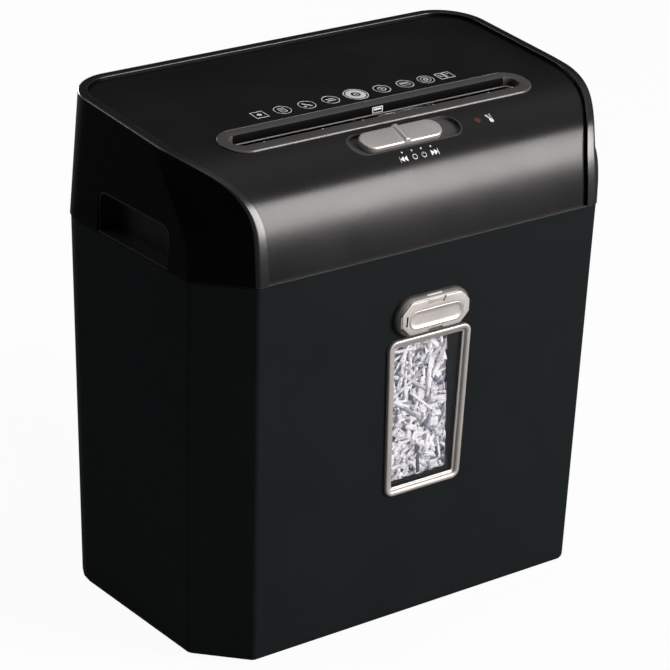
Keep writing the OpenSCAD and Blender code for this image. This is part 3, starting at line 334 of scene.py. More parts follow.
def fall_line(drop, pieces=1600):
    """Points (y, z) from the rear of the top down to the bin's top, moved inwards by drop.

    The top is a straight line at the tilt. The front is a cubic with end points
    p0 and p3 and handles p1 and p2: (1-t)^3 p0 + 3(1-t)^2 t p1 + 3(1-t) t^2 p2 + t^3 p3.
    """
    along = np.array([math.cos(TOP_TILT), math.sin(TOP_TILT)])
    p0 = np.array([CREST_Y, BIN_TOP + RIM_Z + CREST_Y * math.tan(TOP_TILT)])
    p3 = np.array([FOOT_Y, BIN_TOP])
    p1 = p0 - CREST_REACH * along
    p2 = p3 + FOOT_REACH * np.array([math.sin(FOOT_LEAN), math.cos(FOOT_LEAN)])
    t = np.linspace(0, 1, pieces)[:, None]
    curve = (1 - t) ** 3 * p0 + 3 * (1 - t) ** 2 * t * p1 + 3 * (1 - t) * t * t * p2 + t ** 3 * p3
    slope = (1 - t) ** 2 * (p1 - p0) + 2 * (1 - t) * t * (p2 - p1) + t * t * (p3 - p2)
    slope /= np.linalg.norm(slope, axis=1)[:, None]
    inner = curve + drop * np.stack([-slope[:, 1], slope[:, 0]], axis=1)
    back = np.linspace(130, 0.05, STRAIGHT_N)[:, None] * along + inner[0]
    return np.vstack([back, inner])


LINES = {}


def line(drop):
    """The falling curve at this drop, worked out once and kept."""
    key = round(float(drop), 4)
    if key not in LINES:
        LINES[key] = fall_line(drop)
    return LINES[key]


def top_z(y, drop):
    """Height of the moved curve at the place y."""
    c = line(drop)
    return np.interp(y, c[::-1, 0], c[::-1, 1])


def front_y(z, drop):
    """Place y of the moved curve at the height z."""
    c = line(drop)
    return np.interp(z, c[::-1, 1], c[::-1, 0])


print("top is", round(float(top_z(-28.5, 0)), 2), "mm high at the slot; front at 300 mm:",
      round(float(front_y(300, 0)), 2))

# %% [markdown]
# ## The head in plan
# Seen from above, the head is a box with two front corners cut off. The cut turns
# from 43 degrees at the bin to almost nothing at the top, and its rear end sweeps
# backwards while it turns. That twist makes the dark cheek at the front corner.

# %% Sides and rear
HALF_W, HALF_TAPER = 160.5, 4.0   # half width at the bin, and how much it narrows up to the rim
REAR_Y, REAR_LEAN = 88.5, 3.6     # rear wall at the bin, and how far it leans back
REAR_R, REAR_OPENS = 22.0, 9.0    # radius of the rear corners, and how much it grows


def climb(z):
    """Share of the head's height: 0 at the bin and 1 at the rim."""
    return (z - BIN_TOP) / RIM_Z


def half_width(z):
    """Half width of the head, which falls evenly from the bin up to the rim."""
    return HALF_W - HALF_TAPER * climb(z)


def rear_y(z):
    """Place of the rear wall, which leans back evenly."""
    return REAR_Y + REAR_LEAN * climb(z)


def rear_round(z):
    """Radius of the rear corners in plan, which opens evenly with the height."""
    return REAR_R + REAR_OPENS * climb(z)


print("half width:", round(half_width(SEAM_Z), 2), "mm at the seam,",
      half_width(BIN_TOP + RIM_Z), "at the rim")

# %% The cheek at the front corner
CHEEK_Z = BIN_TOP + 23.0                            # below this the cheek is a plain cut corner
CHEEK_TURN = math.degrees(math.atan(29 / 31.5))
CHEEK_FADE, LEAST_TURN = 53.5, 1.5
CHEEK_REAR, CHEEK_SWEEP = -57.0, 0.93               # rear end of the cheek, and how steeply it sweeps back
APEX_FROM, APEX_TO = 300, 336


def soft_ramp(x, bend=5.0):
    """bend * ln(1 + e^(x / bend)): nearly zero below 0, x above it, and a soft bend between."""
    return bend * np.log1p(np.exp(x / bend))


def cheek_turn(z):
    """Angle of the cheek in radians: it fades as 1 - 0.75 u - 0.5 u^8, with u a soft ramp of the height."""
    u = soft_ramp(z - CHEEK_Z + 0.5) / CHEEK_FADE
    return np.radians(np.maximum(CHEEK_TURN * (1 - 0.75 * u - 0.5 * u ** 8), LEAST_TURN))


def cheek_end(z):
    """Where the cheek meets the side: straight up, then swept back by a soft ramp."""
    return CHEEK_REAR + CHEEK_SWEEP * soft_ramp(z - CHEEK_Z)


def corner_y(z, d):
    """Corner between cheek and side when the outline is moved in by d."""
    return cheek_end(z) + d * np.tan(cheek_turn(z) / 2)


def apex_z(d, drop):
    """Height at which the cheek runs out: the front curve meets the corner there."""
    z = np.linspace(APEX_FROM, APEX_TO, 7000)
    return float(np.interp(0.0, front_y(z, drop) - corner_y(z, d), z))


apex = apex_z(0, 0)
print("cheek runs out at", round(apex, 2), "mm; half width there", round(half_width(apex), 2))

# %% [markdown]
# ## Rings round the rim
# The rim, the ledge and the walls all follow the same path round the head. A
# ring is that path for one inset and one drop: up the front edge of the cheek,
# along the side, round the rear corner and across the back to the middle. All
# rings have the same number of points, so any two of them make a strip of quads.

# %% Stations along the path
FRONT_N, CHEEK_N, ARC_N, SIDE_N, REAR_N, BACK_N = 72, 16, 6, 30, 18, 14


def run_length(c):
    """Length from the start of a line of points to each of its points."""
    return np.concatenate([[0], np.cumsum(np.linalg.norm(np.diff(c, axis=0), axis=1))])


def even_rise():
    """Shares of the height, 0 to 1, that are evenly spaced along the fall up to the apex."""
    c = line(0)[STRAIGHT_N:]
    c = c[(c[:, 1] >= SEAM_Z) & (c[:, 1] <= apex_z(0, 0))][::-1]
    length = run_length(c)
    z = np.interp(np.linspace(0, length[-1], FRONT_N + 1), length, c[:, 1])
    return (z - z[0]) / (z[-1] - z[0])


RISE = even_rise()
SIDE_T = np.linspace(0, 1, SIDE_N + 1)[1:]
REAR_A = np.linspace(0, math.pi / 2, REAR_N + 1)[1:]
BACK_T = np.linspace(0, 1, BACK_N + 1)[1:]
print("stations:", FRONT_N + 1, "up the cheek,", SIDE_N, "along the side,", REAR_N + BACK_N, "round the rear")

# %% [markdown]
# A place on the side or the rear depends on its height, and the height on the
# curved top depends on the place. We start from a guess and repeat the two steps
# until they agree. The top is nearly level, so this settles quickly.

# %% Three stretches of the path
GUESS_Z = 325.0


def on_top(place, drop, rounds=30):
    """Find z on the moved curve for places that themselves depend on z, by repeating z = top(y(z))."""
    z = np.full(place(np.array([GUESS_Z])).shape[1], GUESS_Z)
    for _ in range(rounds):
        z = top_z(place(z)[1], drop)
    return place(z), z


def side_place(d):
    """Straight side at inset d: x = w - d, with y shared out from the corner to the rear round."""
    def place(z):
        """From the cheek's corner back to the start of the rear corner."""
        ya = corner_y(z, d)
        y = ya + (rear_y(z) - rear_round(z) - ya) * SIDE_T
        return np.stack([half_width(z) - d + 0 * y, y])
    return place


def rear_place(d):
    """Rear corner at inset d: centre plus (r - d) times (cos a, sin a)."""
    def place(z):
        """A quarter circle about the corner's centre, moved in by d."""
        r = rear_round(z)
        out = (r - d) * np.stack([np.cos(REAR_A), np.sin(REAR_A)])
        return np.stack([half_width(z) - r, rear_y(z) - r]) + out
    return place


def back_place(d):
    """Straight back at inset d, from the rear corner to the middle."""
    def place(z):
        """From the rear corner across to the middle, x = 0."""
        x = (half_width(z) - rear_round(z)) * (1 - BACK_T)
        return np.stack([x, rear_y(z) - d + 0 * x])
    return place


def rest_of_path(d):
    """The stretches that follow the cheek."""
    return side_place(d), rear_place(d), back_place(d)


print("side meets the top at", round(float(on_top(side_place(0), 0)[1][0]), 2), "mm")

# %% Rings and walls
CORNER_R, CORNER_FADE = 4.0, 6.0


def ring(d, drop):
    """The path at inset d on the curve moved in by drop, from the seam to the middle of the back.

    On the cheek x = w - (ye - y) tan(turn) - d / cos(turn), with y on the front curve.
    """
    top = apex_z(d, drop)
    z = SEAM_Z + RISE * (top - SEAM_Z)
    y = front_y(z, drop)
    y[-1] = corner_y(top, d)
    turn = cheek_turn(z)
    x = half_width(z) - (cheek_end(z) - y) * np.tan(turn) - d / np.cos(turn)
    x[-1] = half_width(top) - d
    parts = [np.stack([x, y, z], axis=1)]
    for place in rest_of_path(d):
        p, h = on_top(place, drop)
        parts.append(np.stack([p[0], p[1], h], axis=1))
    return np.vstack(parts)


def cheek_row(z, d, top, start):
    """One level row across the cheek and round its rear corner, from start, and how far the round reaches.

    The corner round has a radius of 4 mm that fades out over the last 6 mm.
    """
    w, turn, yc = half_width(z), float(cheek_turn(z)), float(corner_y(z, d))
    r = CORNER_R * min(1.0, (top - z) / CORNER_FADE)
    reach = r * math.tan(turn / 2)
    y0 = yc if start is None else start
    s = np.linspace(0, 1, CHEEK_N + 1)
    y = y0 + (yc - reach * math.cos(turn) - y0) * s
    x = w - d - (yc - y) * math.tan(turn)
    a = turn - turn * np.linspace(0, 1, ARC_N + 1)[1:]
    cheek = np.stack([x, y, np.full_like(x, z)], axis=1)
    arc = np.stack([w - d - r + r * np.cos(a), yc + reach - r * np.sin(a), np.full_like(a, z)], axis=1)
    return [cheek, arc], reach


def wall(d, drop):
    """The upright wall at inset d up to the curve moved in by drop, as rows of points.

    Each column climbs from the seam to its own top. Cheek columns share out the
    stretch from the front curve to the corner.
    """
    top = apex_z(d, drop)
    places = rest_of_path(d)
    crowns = [on_top(place, drop)[1] for place in places]
    rows = []
    for i, g in enumerate(RISE):
        z = SEAM_Z + g * (top - SEAM_Z)
        row, reach = cheek_row(z, d, top, front_y(z, drop) if i < FRONT_N else None)
        for k, (place, crown) in enumerate(zip(places, crowns)):
            h = SEAM_Z + g * (crown - SEAM_Z)
            p = place(h)
            if k == 0:
                p[1] = p[1] + reach * (1 - SIDE_T)
            row.append(np.stack([p[0], p[1], h], axis=1))
        rows.append(np.vstack(row))
    return np.stack(rows)


print("one ring has", len(ring(0, 0)), "points, and one wall", wall(0, 0).shape[:2])

# %% [markdown]
# ## Casing
# The casing is one black moulding: the walls, a bright-edged rim 6 mm wide, and
# a ledge under it that carries the panel. We carry a section round the rim, add
# the inner and outer walls, and close the flat foot at the seam. The hand grips
# and the hole for the lead are cut afterwards with a boolean.

# %% Casing surfaces
RIM_W = 6.0                       # the rim in plan
LEDGE_W, LEDGE_T = 6.0, 2.0       # the ledge inside it
WALL_T = 2.8
PANEL_DROP, PANEL_T = 2.6, 2.4    # how deep the panel lies, and its thickness
UNDER = PANEL_DROP + PANEL_T
OUT_R, IN_R = 1.3, 0.7            # the rim's outer and inner rounds
HALF_MAX = 160.3                  # the solid head's half width at its foot


def rim_section():
    """Inset and drop round the rim: an outer round, the flat, an inner round, the step and the ledge."""
    a = np.linspace(0, math.pi / 2, 8)
    outer = np.stack([OUT_R * (1 - np.cos(a)), OUT_R * (1 - np.sin(a))], axis=1)
    flat = np.array([[2.4, 0], [3.6, 0]])
    inner = np.stack([RIM_W - IN_R + IN_R * np.sin(a), IN_R * (1 - np.cos(a))], axis=1)
    deep = np.array([[RIM_W, UNDER], [RIM_W + LEDGE_W, UNDER], [RIM_W + LEDGE_W, UNDER + LEDGE_T],
                     [WALL_T, UNDER + LEDGE_T]])
    return np.vstack([outer, flat, inner, deep])


def casing_half():
    """The right half: outer wall, rim strip, inner wall, the flat foot and the strip's end."""
    strip = np.stack([ring(d, drop) for d, drop in rim_section()])
    outer, inner = wall(0, OUT_R), wall(WALL_T, UNDER + LEDGE_T)
    quads = weave(*outer.shape[:2])
    foot = np.stack([outer[0], inner[0]])
    end = strip[:, 0]
    return join_grids([(outer, quads), (inner, quads), (strip, weave(*strip.shape[:2])),
                       (foot, weave(2, outer.shape[1])), (end, [tuple(range(len(end)))])])


right_half = casing_half()
all_points, all_faces = join_grids([right_half, mirrored(*right_half)])
all_points[:, 0] = np.clip(all_points[:, 0], -HALF_MAX, HALF_MAX)
casing = make("casing_shell", all_points, all_faces, "head", weld=0.03, angle=38)
print("casing:", len(casing.data.vertices), "points,", len(casing.data.polygons), "faces")

# %% [markdown]
# ## Cutting the grips
# A boolean needs a closed cutter. A rounded slot shape is a closed line of points,
# and `prism` carries it along an axis and closes both ends.

# %% Outlines for cutters
def rounded_box_line(y0, y1, z0, z1, r, n=10):
    """A rectangle whose two upper corners are quarter circles of radius r."""
    a = np.linspace(0, math.pi / 2, n)
    right = np.stack([y1 - r + r * np.cos(a), z1 - r + r * np.sin(a)], axis=1)
    left = np.stack([y0 + r - r * np.sin(a), z1 - r + r * np.cos(a)], axis=1)
    return np.vstack([[[y1, z0]], right, left, [[y0, z0]]])


def obround(w, h, n=24, m=1):
    """A slot shape: two half circles of radius h/2 joined by straight sides, m points on each side."""
    r, c = h / 2, (w - h) / 2
    a = np.linspace(-math.pi / 2, math.pi / 2, n)
    right = np.stack([c + r * np.cos(a), r * np.sin(a)], axis=1)
    s = np.linspace(0, 1, m + 1)[1:-1] if m > 1 else np.zeros(0)
    top = np.stack([c - 2 * c * s, np.full_like(s, r)], axis=1)
    return np.vstack([right, top, -right, -top])


def circle(cx, cy, r, n=40, a0=0.0, a1=360.0):
    """Points round a circle, or along a part of it."""
    whole = abs(a1 - a0) >= 360
    a = np.radians(np.linspace(a0, a1, n + 1)[:-1] if whole else np.linspace(a0, a1, n))
    return np.column_stack([cx + r * np.cos(a), cy + r * np.sin(a)])


print("outlines:", len(rounded_box_line(0, 9, 0, 9, 2)), "points in a grip,", len(obround(9, 4)), "in a slot")

# %% Cutters
def prism(low, high):
    """A closed solid between two rings with the same number of points."""
    n = len(low)
    sides = [(i, (i + 1) % n, n + (i + 1) % n, n + i) for i in range(n)]
    return np.vstack([low, high]), sides + [tuple(range(n - 1, -1, -1)), tuple(range(n, 2 * n))]


def cut(obj, cutters, angle):
    """Take closed shapes away from an object with an exact boolean, and shade it again."""
    for points, faces in cutters:
        tool = make("cutter", points, faces, None, weld=0, angle=0)
        apply_modifier(obj, "BOOLEAN", object=tool, operation="DIFFERENCE", solver="EXACT")
        bpy.data.objects.remove(tool)
    finish_shading(obj.data, angle)
    return obj


def along_x(outline, x0, x1):
    """A (y, z) outline carried from x0 to x1."""
    return prism(*(np.column_stack([np.full(len(outline), x), outline]) for x in (x0, x1)))


def along_y(outline, y0, y1):
    """An (x, z) outline carried from y0 to y1."""
    x, z = outline.T
    return prism(*(np.column_stack([x, np.full(len(x), y), z]) for y in (y0, y1)))


GRIP_X = (151.0, 175.0)           # from inside the wall to well outside it
GLAND_R, GLAND_Y = 7.1, (80.0, 100.0)
grip_line = rounded_box_line(y0=-35.3, y1=42.3, z0=250.0, z1=283.5, r=7.3)
gland_middle = np.mean(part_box("cord_gland"), axis=0) / MM
gland_line = circle(gland_middle[0], gland_middle[2], GLAND_R, n=32)
cut(casing, [along_x(grip_line, *GRIP_X), along_x(grip_line, -GRIP_X[1], -GRIP_X[0]),
             along_y(gland_line, *GLAND_Y)], angle=38)
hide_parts("head_casing")
print("casing cut:", len(casing.data.polygons), "faces")

# %% [markdown]
# The rim is polished and the walls are not. The rim is the part of the casing
# that lies on the falling curve and faces out of it, so we measure both for each
# face and give those faces the second material.

# %% Polished rim
RIM_REACH, FACING_LEAST, AT_ONCE = 1.6, 0.25, 4096


def rim_faces(obj):
    """True for faces that lie near the falling curve and face out of it.

    The distance is that from the face's middle to the nearest point of the curve
    in the side view. It is measured for a few thousand faces at once.
    """
    middle, facing = middles_and_normals(obj)
    curve = line(0.0)[::-1]
    step = np.gradient(curve, axis=0)
    step /= np.linalg.norm(step, axis=1)[:, None]
    gap = np.full(len(middle), np.inf)
    nearest = np.zeros(len(middle), int)
    for start in range(0, len(middle), AT_ONCE):
        part = slice(start, start + AT_ONCE)
        d = np.linalg.norm(middle[part, None, 1:] - curve[None], axis=2)
        nearest[part], gap[part] = d.argmin(axis=1), d.min(axis=1)
    out = np.stack([-step[nearest, 1], step[nearest, 0]], axis=1)
    return (gap < RIM_REACH) & ((facing[:, 1:] * out).sum(axis=1) > FACING_LEAST)


wear(casing, casing_black, rim_black)
on_rim = rim_faces(casing)
casing.data.polygons.foreach_set("material_index", on_rim.astype(int))
print("rim faces:", int(on_rim.sum()))

# %% [markdown]
# ## Control panel
# The panel is a satin black sheet that lies inside the rim, 2.6 mm lower, and
# follows the same fall. Its half width comes from the head's plan, so the gap to
# the rim is even all round. Rows run along the fall and columns run across it.

# %% Where the panel lies
PANEL_D = RIM_W + 0.3             # inset of its edge: the rim and an even gap


def place_on(drop, share):
    """Points (y, z) at shares of the length of the moved curve between seam and rear edge."""
    c = line(drop)[::-1]
    c = c[(c[:, 1] >= SEAM_Z - 2) & (c[:, 0] < 120)]
    length = run_length(c)
    foot = slice(60)
    start = np.interp(SEAM_Z, c[foot, 1], length[foot])
    rear = REAR_Y
    for _ in range(8):
        rear = float(rear_y(top_z(rear, drop))) - PANEL_D
    end = np.interp(rear, c[:, 0], length)
    s = start + np.asarray(share) * (end - start)
    return np.stack([np.interp(s, length, c[:, 0]), np.interp(s, length, c[:, 1])], axis=1)


def panel_half(y, z, d):
    """Half width at (y, z): the cheek line, the side line or the rear corner arc, whichever is nearest."""
    w, r, turn = half_width(z), rear_round(z), cheek_turn(z)
    cheek = w - (cheek_end(z) - y) * np.tan(turn) - d / np.cos(turn)
    x = np.where(y < corner_y(z, d), cheek, w - d)
    past = np.maximum(y - (rear_y(z) - r), 0.0)
    arc = w - r + np.sqrt(np.maximum((r - d) ** 2 - past ** 2, 0.0))
    return np.where(past > 0, np.minimum(arc, x), x)


foot, rear = place_on(PANEL_DROP, (0, 1))
print("panel from", np.round(foot, 1), "to", np.round(rear, 1))

# %% Panel surface
def panel_grid(drop):
    """Rows along the fall and columns across it, on the curve moved in by drop.

    Rows are even along the fall and close up like a sine at the rear corners.
    Columns close up like a sine towards both sides.
    """
    even, tail = np.linspace(0, 0.9, 120), np.sin(np.linspace(0, math.pi / 2, 22))[1:]
    share = np.concatenate([even, 0.9 + 0.1 * tail])
    most = math.pi / 2 * 0.9
    across = np.sin(np.linspace(-1, 1, 61) * most) / math.sin(most)
    y, z = place_on(drop, share).T
    x = panel_half(y, z, PANEL_D)[:, None] * across
    return np.stack([x, y[:, None] + 0 * x, z[:, None] + 0 * x], axis=-1)


def rim_of_grid(rows, cols):
    """Indices of the points round the border of a grid, in order."""
    first, right = np.arange(cols), np.arange(1, rows) * cols + cols - 1
    last, left = (rows - 1) * cols + np.arange(cols - 2, -1, -1), np.arange(rows - 2, 0, -1) * cols
    return np.concatenate([first, right, last, left])


def panel_solid():
    """Top and bottom grids of the panel, joined round the edge."""
    top, low = panel_grid(PANEL_DROP), panel_grid(UNDER)
    rows, cols = top.shape[:2]
    rim = rim_of_grid(rows, cols)
    ahead, under = np.roll(rim, -1), rows * cols
    edge = np.stack([rim, ahead, ahead + under, rim + under], axis=1)
    quads = np.vstack([weave(rows, cols), weave(rows, cols, start=under), edge])
    return np.vstack([top.reshape(-1, 3), low.reshape(-1, 3)]), quads


panel = make("panel_skin", *panel_solid(), "head", weld=0.01, angle=38)
apply_modifier(panel, "BEVEL", width=0.6 * MM, segments=3, limit_method="ANGLE", angle_limit=math.radians(50))
print("panel:", len(panel.data.polygons), "faces")

# %% [markdown]
# ## A frame that stands on the panel
# The slot trim, the switch and the prints all sit square to the curved panel.
# `stand` gives the place of a point that is x across, v up the slope and h above
# the panel, for one chosen centre. `lay` wraps flat artwork over the curve.

# %% Placing on the panel
def panel_z(y):
    """Height of the panel's upper face at y."""
    return top_z(y, PANEL_DROP)


def tilt_at(y):
    """Slope of the panel at y, from two points 0.2 mm apart."""
    return math.atan2(float(panel_z(y + 0.1) - panel_z(y - 0.1)), 0.2)


def stand(cx, cy, local):
    """Local (x, v, h) points placed on the tangent plane at (cx, cy)."""
    a = tilt_at(cy)
    x, v, h = np.asarray(local, float).reshape(-1, 3).T
    y = cy + v * math.cos(a) - h * math.sin(a)
    z = float(panel_z(cy)) + v * math.sin(a) + h * math.cos(a)
    return np.column_stack([cx + x, y, z])


def lay(flat, height):
    """Flat (x, y) points laid on the panel at a height along its normal."""
    x, y = np.asarray(flat, float).reshape(-1, 2).T
    slope = np.arctan2(panel_z(y + 0.2) - panel_z(y - 0.2), 0.4)
    return np.column_stack([x, y - height * np.sin(slope), panel_z(y) + height * np.cos(slope)])


def raise_to(flat, h):
    """Flat points with the height h added as a third coordinate."""
    return np.column_stack([flat, np.full(len(flat), h)])


SLOT_Y, SWITCH_Y = -28.5, -56.5
print("the panel leans", round(math.degrees(tilt_at(SLOT_Y)), 2), "degrees at the slot and",
      round(math.degrees(tilt_at(SWITCH_Y)), 2), "at the switch")

# %% Holes in the panel
WELL_X, LAMP_X, LAMP_Y = -0.9, 54.4, SWITCH_Y - 2


def panel_hole(cx, cy, w, h, deep=12):
    """A slot-shaped cutter of this size that goes right through the panel."""
    return prism(*(stand(cx, cy, raise_to(obround(w, h), z)) for z in (-deep, deep)))


# The lamp's hole is a hair wider than it is high, so its two half circles stay apart.
cut(panel, [panel_hole(0, SLOT_Y, 231.3, 24.3), panel_hole(WELL_X, SWITCH_Y, 85.7, 20.3),
            panel_hole(LAMP_X, LAMP_Y, 5.201, 5.2, deep=8)], angle=38)
print("panel cut:", len(panel.data.polygons), "faces")

# %% [markdown]
# A boolean leaves long thin faces round its holes, and their averaged normals make
# dents in a gloss. The true normal of the upper face is known from the curve, so
# we write it into the corners of all faces that lie on it.

# %% Even sheen
SAME_WAY, ON_FACE = 0.985, 0.06


def even_sheen(obj):
    """Corner normals of the upper face are set from the curve: (0, -sin a, cos a) at slope a.

    The front is nearly upright, so the place on the curve is found by y plus z.
    Only corners within 0.06 mm of the curve, on faces that look the same way, are set.
    """
    mesh = obj.data
    normals = np.array([c.vector[:] for c in mesh.corner_normals])
    at = np.zeros(len(mesh.loops), int)
    mesh.loops.foreach_get("vertex_index", at)
    co = np.zeros(len(mesh.vertices) * 3)
    mesh.vertices.foreach_get("co", co)
    co = co.reshape(-1, 3)[at] / MM
    owner = np.repeat(np.arange(len(mesh.polygons)), [p.loop_total for p in mesh.polygons])
    facing = middles_and_normals(obj)[1][owner]
    c = line(PANEL_DROP)[::-1]
    step = np.gradient(c, axis=0)
    here, known = co[:, 1] + co[:, 2], c[:, 0] + c[:, 1]
    a = np.interp(here, known, np.arctan2(step[:, 1], step[:, 0]))
    true = np.stack([0 * a, -np.sin(a), np.cos(a)], axis=1)
    off = np.abs(np.interp(here, known, c[:, 1]) - co[:, 2])
    swap = ((facing * true).sum(1) > SAME_WAY) & (off < ON_FACE)
    normals[swap] = true[swap]
    mesh.normals_split_custom_set(normals.tolist())
    return int(swap.sum())


print("panel corners set:", even_sheen(panel))
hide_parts("control_panel")
wear(panel, satin_black)

# %% [markdown]
# ## Slot collar
# The collar is a long ring that trims the paper slot. Its top edge is rounded. A
# painted highlight line in pale grey runs along its rear edge, and the lip in the
# throat is a pale polished metal whose colour partly paints its line of light.
# Inside, a flare leads the paper down into the throat, its straight part painted
# black as shade. One section is carried round an obround path, and each ring of
# the section has its own width and height.

# %% Slot collar
def round_strip(rings, wrap=False):
    """Carry a list of equal rings into a strip of quads, closed round each ring."""
    block = np.stack(rings)
    return block, weave(block.shape[0], block.shape[1], wrap_rows=wrap, wrap_cols=True)


def on_panel_height(cy, v):
    """Height of the curved panel above the tangent plane at cy, for a point v up the slope."""
    a = tilt_at(cy)
    y = cy + v * math.cos(a)
    return (panel_z(y) - float(panel_z(cy)) - v * math.sin(a)) / math.cos(a)


def collar_ring(w, h, z, follow):
    """One obround ring at local height z; follow = 1 puts it that far above the panel's own surface."""
    path = obround(w, h, n=40, m=90)
    lift = on_panel_height(SLOT_Y, path[:, 1]) * follow
    return stand(0, SLOT_Y, np.column_stack([path, z + lift]))


# Each row: width, height, level, and how much of the panel's curve it follows.
outer_edge = [(231.0, 24.0, -5.9, 0), (231.0, 24.0, -0.9, 0), (236.6, 29.6, 0.03, 1), (237.0, 30.0, 0.2, 1),
              (236.95, 29.95, 0.45, 0.8), (236.6, 29.6, 0.72, 0.5), (236.1, 29.1, 0.87, 0.2)]
flat_land = [(w, h, 0.9, 0) for w, h in ((235.4, 28.4), (234.7, 27.7), (230.0, 22.6), (222.6, 14.8))]
flare = [(221.9, 14.1, 0.84, 0), (221.4, 13.6, 0.6, 0), (221.2, 13.4, 0.2, 0),
         (220.9, 12.9, -1.6, 0), (220.6, 12.4, -3.6, 0), (220.4, 12.1, -4.7, 0)]
lower_lip = [(219.9, 11.6, -4.8, 0), (219.2, 10.9, -4.95, 0), (219.0, 10.7, -5.2, 0),
             (219.1, 10.8, -5.6, 0), (219.6, 11.3, -5.9, 0)]
block, faces = round_strip([collar_ring(*s) for s in outer_edge + flat_land + flare + lower_lip], wrap=True)
collar = make("collar_skin", block, faces, "head", weld=0.01, angle=40)
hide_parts("slot_collar")
print("collar:", len(collar.data.polygons), "faces")

# %% [markdown]
# The collar wears four finishes: its own plastic on the land, painted shade in
# black inside the flare, a pale polished metal on the lip in the throat whose
# colour partly paints its line of light, and a pale grey painted highlight along
# the land's rear edge. Each face is judged by its place in the collar's own frame.

# %% Collar finishes
# Painted shade: the flare is painted black along its straight part.
STRAIGHT_X = 105                  # the flare is black along the straight part
FLARE_UP, FLARE_TOP = 7.2, 0.86   # its reach up and down the slope, and its upper end
LIP_UP, LIP_FOOT, LIP_TOP = 6.3, -5.3, -4.6
# Where the painted highlight band lies on the land's rear edge.
EDGE_FROM, EDGE_TO, EDGE_FOOT = 13.86, 14.19, 0.5


def in_frame(middle, cy):
    """Distance up the slope and height above the tangent plane at cy, for each point."""
    a = tilt_at(cy)
    y, z = middle[:, 1] - cy, middle[:, 2] - float(panel_z(cy))
    return y * math.cos(a) + z * math.sin(a), z * math.cos(a) - y * math.sin(a)


middles, _ = middles_and_normals(collar)
up, level = in_frame(middles, SLOT_Y)
# Painted shade inside the flare.
inside = (np.abs(up) < FLARE_UP) & (level < FLARE_TOP) & (np.abs(middles[:, 0]) < STRAIGHT_X)
# The lip's pale metal partly paints its line of light.
lip = (level < LIP_TOP) & (level > LIP_FOOT) & (np.abs(up) < LIP_UP)
# Painted highlight along the land's rear edge.
painted_highlight_edge = (up > EDGE_FROM) & (up < EDGE_TO) & (level > EDGE_FOOT)
wear(collar, collar_black, polished_lip_glint, black_and_painted_shade, painted_edge_highlight)
worn = np.select([lip, inside, painted_highlight_edge], [1, 2, 3], 0)
collar.data.polygons.foreach_set("material_index", worn.astype(int))
print("collar faces: lip", int(lip.sum()), "inside", int(inside.sum()), "land edge", int(painted_highlight_edge.sum()))

# %% [markdown]
# ## Mode slider
# The slider is a silver bar that you push along its well. Its top is crowned from
# front to rear, and a rounded rib crosses the middle for the finger. The surface
# is a height over rings that shrink from the outline to the centre line.

# %% Heights over an obround
def edge_round(inset, r):
    """How far a rounded edge lies below its flat: r - sqrt(r^2 - (r - s)^2) for s < r."""
    s = np.clip(inset, 0, r)
    return r - np.sqrt(np.maximum(r * r - (r - s) ** 2, 0.0))


def shrunk(w, h, s, n, m):
    """An obround moved in by s, down to its centre line."""
    return obround(w - 2 * s, max(h - 2 * s, 1e-4), n=n, m=m)


def crowned_bar(w, h, insets, height, base):
    """Rings of (x, v, h): straight sides from base, then height(x, v, inset)."""
    foot = shrunk(w, h, insets[0], 18, 180)
    rings = [raise_to(foot, base)]
    for s in insets:
        p = shrunk(w, h, s, 18, 180)
        rings.append(np.column_stack([p, height(p[:, 0], p[:, 1], s)]))
    return rings


SLIDER_W, SLIDER_H, SLIDER_BASE, SLIDER_TOP = 60.8, 16.0, -2.3, 2.1
EDGE_R, CROWN_R = 1.2, 90.0
RIB_RISE, RIB_HALF = 1.8, 2.1


def slider_height(x, v, s):
    """A crown of radius 90, less an edge rounded over 1.2 mm, plus the rib 1.8 exp(-(x / 2.1)^4).

    The rib sinks towards the edge, where s is small.
    """
    crown = SLIDER_TOP - (CROWN_R - np.sqrt(CROWN_R ** 2 - v ** 2))
    rib = RIB_RISE * np.exp(-(np.abs(x) / RIB_HALF) ** 4)
    return crown + rib * min(1.0, 0.35 + s / 0.9) - edge_round(s, EDGE_R)


print("slider height at the rib and beside it:", np.round(slider_height(np.array([0, 9]), 0, 8), 2))

# %% Slider
SLIDER_X = WELL_X - 3.7           # its place in the well at the off stop


def box_solid(low, high):
    """Eight corners and six faces between two opposite corners."""
    (x0, y0, z0), (x1, y1, z1) = low, high
    corners = np.array([[x0, y0], [x1, y0], [x1, y1], [x0, y1]])
    return prism(raise_to(corners, z0), raise_to(corners, z1))


round_steps = EDGE_R * (1 - np.cos(np.linspace(0, math.pi / 2, 9)))
slider_insets = np.concatenate([round_steps, np.linspace(1.8, SLIDER_H / 2, 16)])
rings = crowned_bar(SLIDER_W, SLIDER_H, slider_insets, slider_height, SLIDER_BASE)
block, faces = round_strip([stand(SLIDER_X, SWITCH_Y, r) for r in rings])
slider_body = (block, [*map(tuple, faces), tuple(range(block.shape[1] - 1, -1, -1))])
stem_points, stem_faces = box_solid((-4, -2, -8.6), (4, 2, -2.4))
stem = (stand(SLIDER_X, SWITCH_Y, stem_points), stem_faces)
slider = make("slider_skin", *join_grids([slider_body, stem]), "mode_slider", weld=0.004, angle=42)
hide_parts("switch_slider")
print("slider:", len(slider.data.polygons), "faces, top at", round(block[..., 2].max(), 2))

# %% [markdown]
# ## Silver trim
# The slider, the badge and the window frame are plastic with a satin nickel
# lacquer: metallic, fairly rough, and with a fine sparkle in the bump.

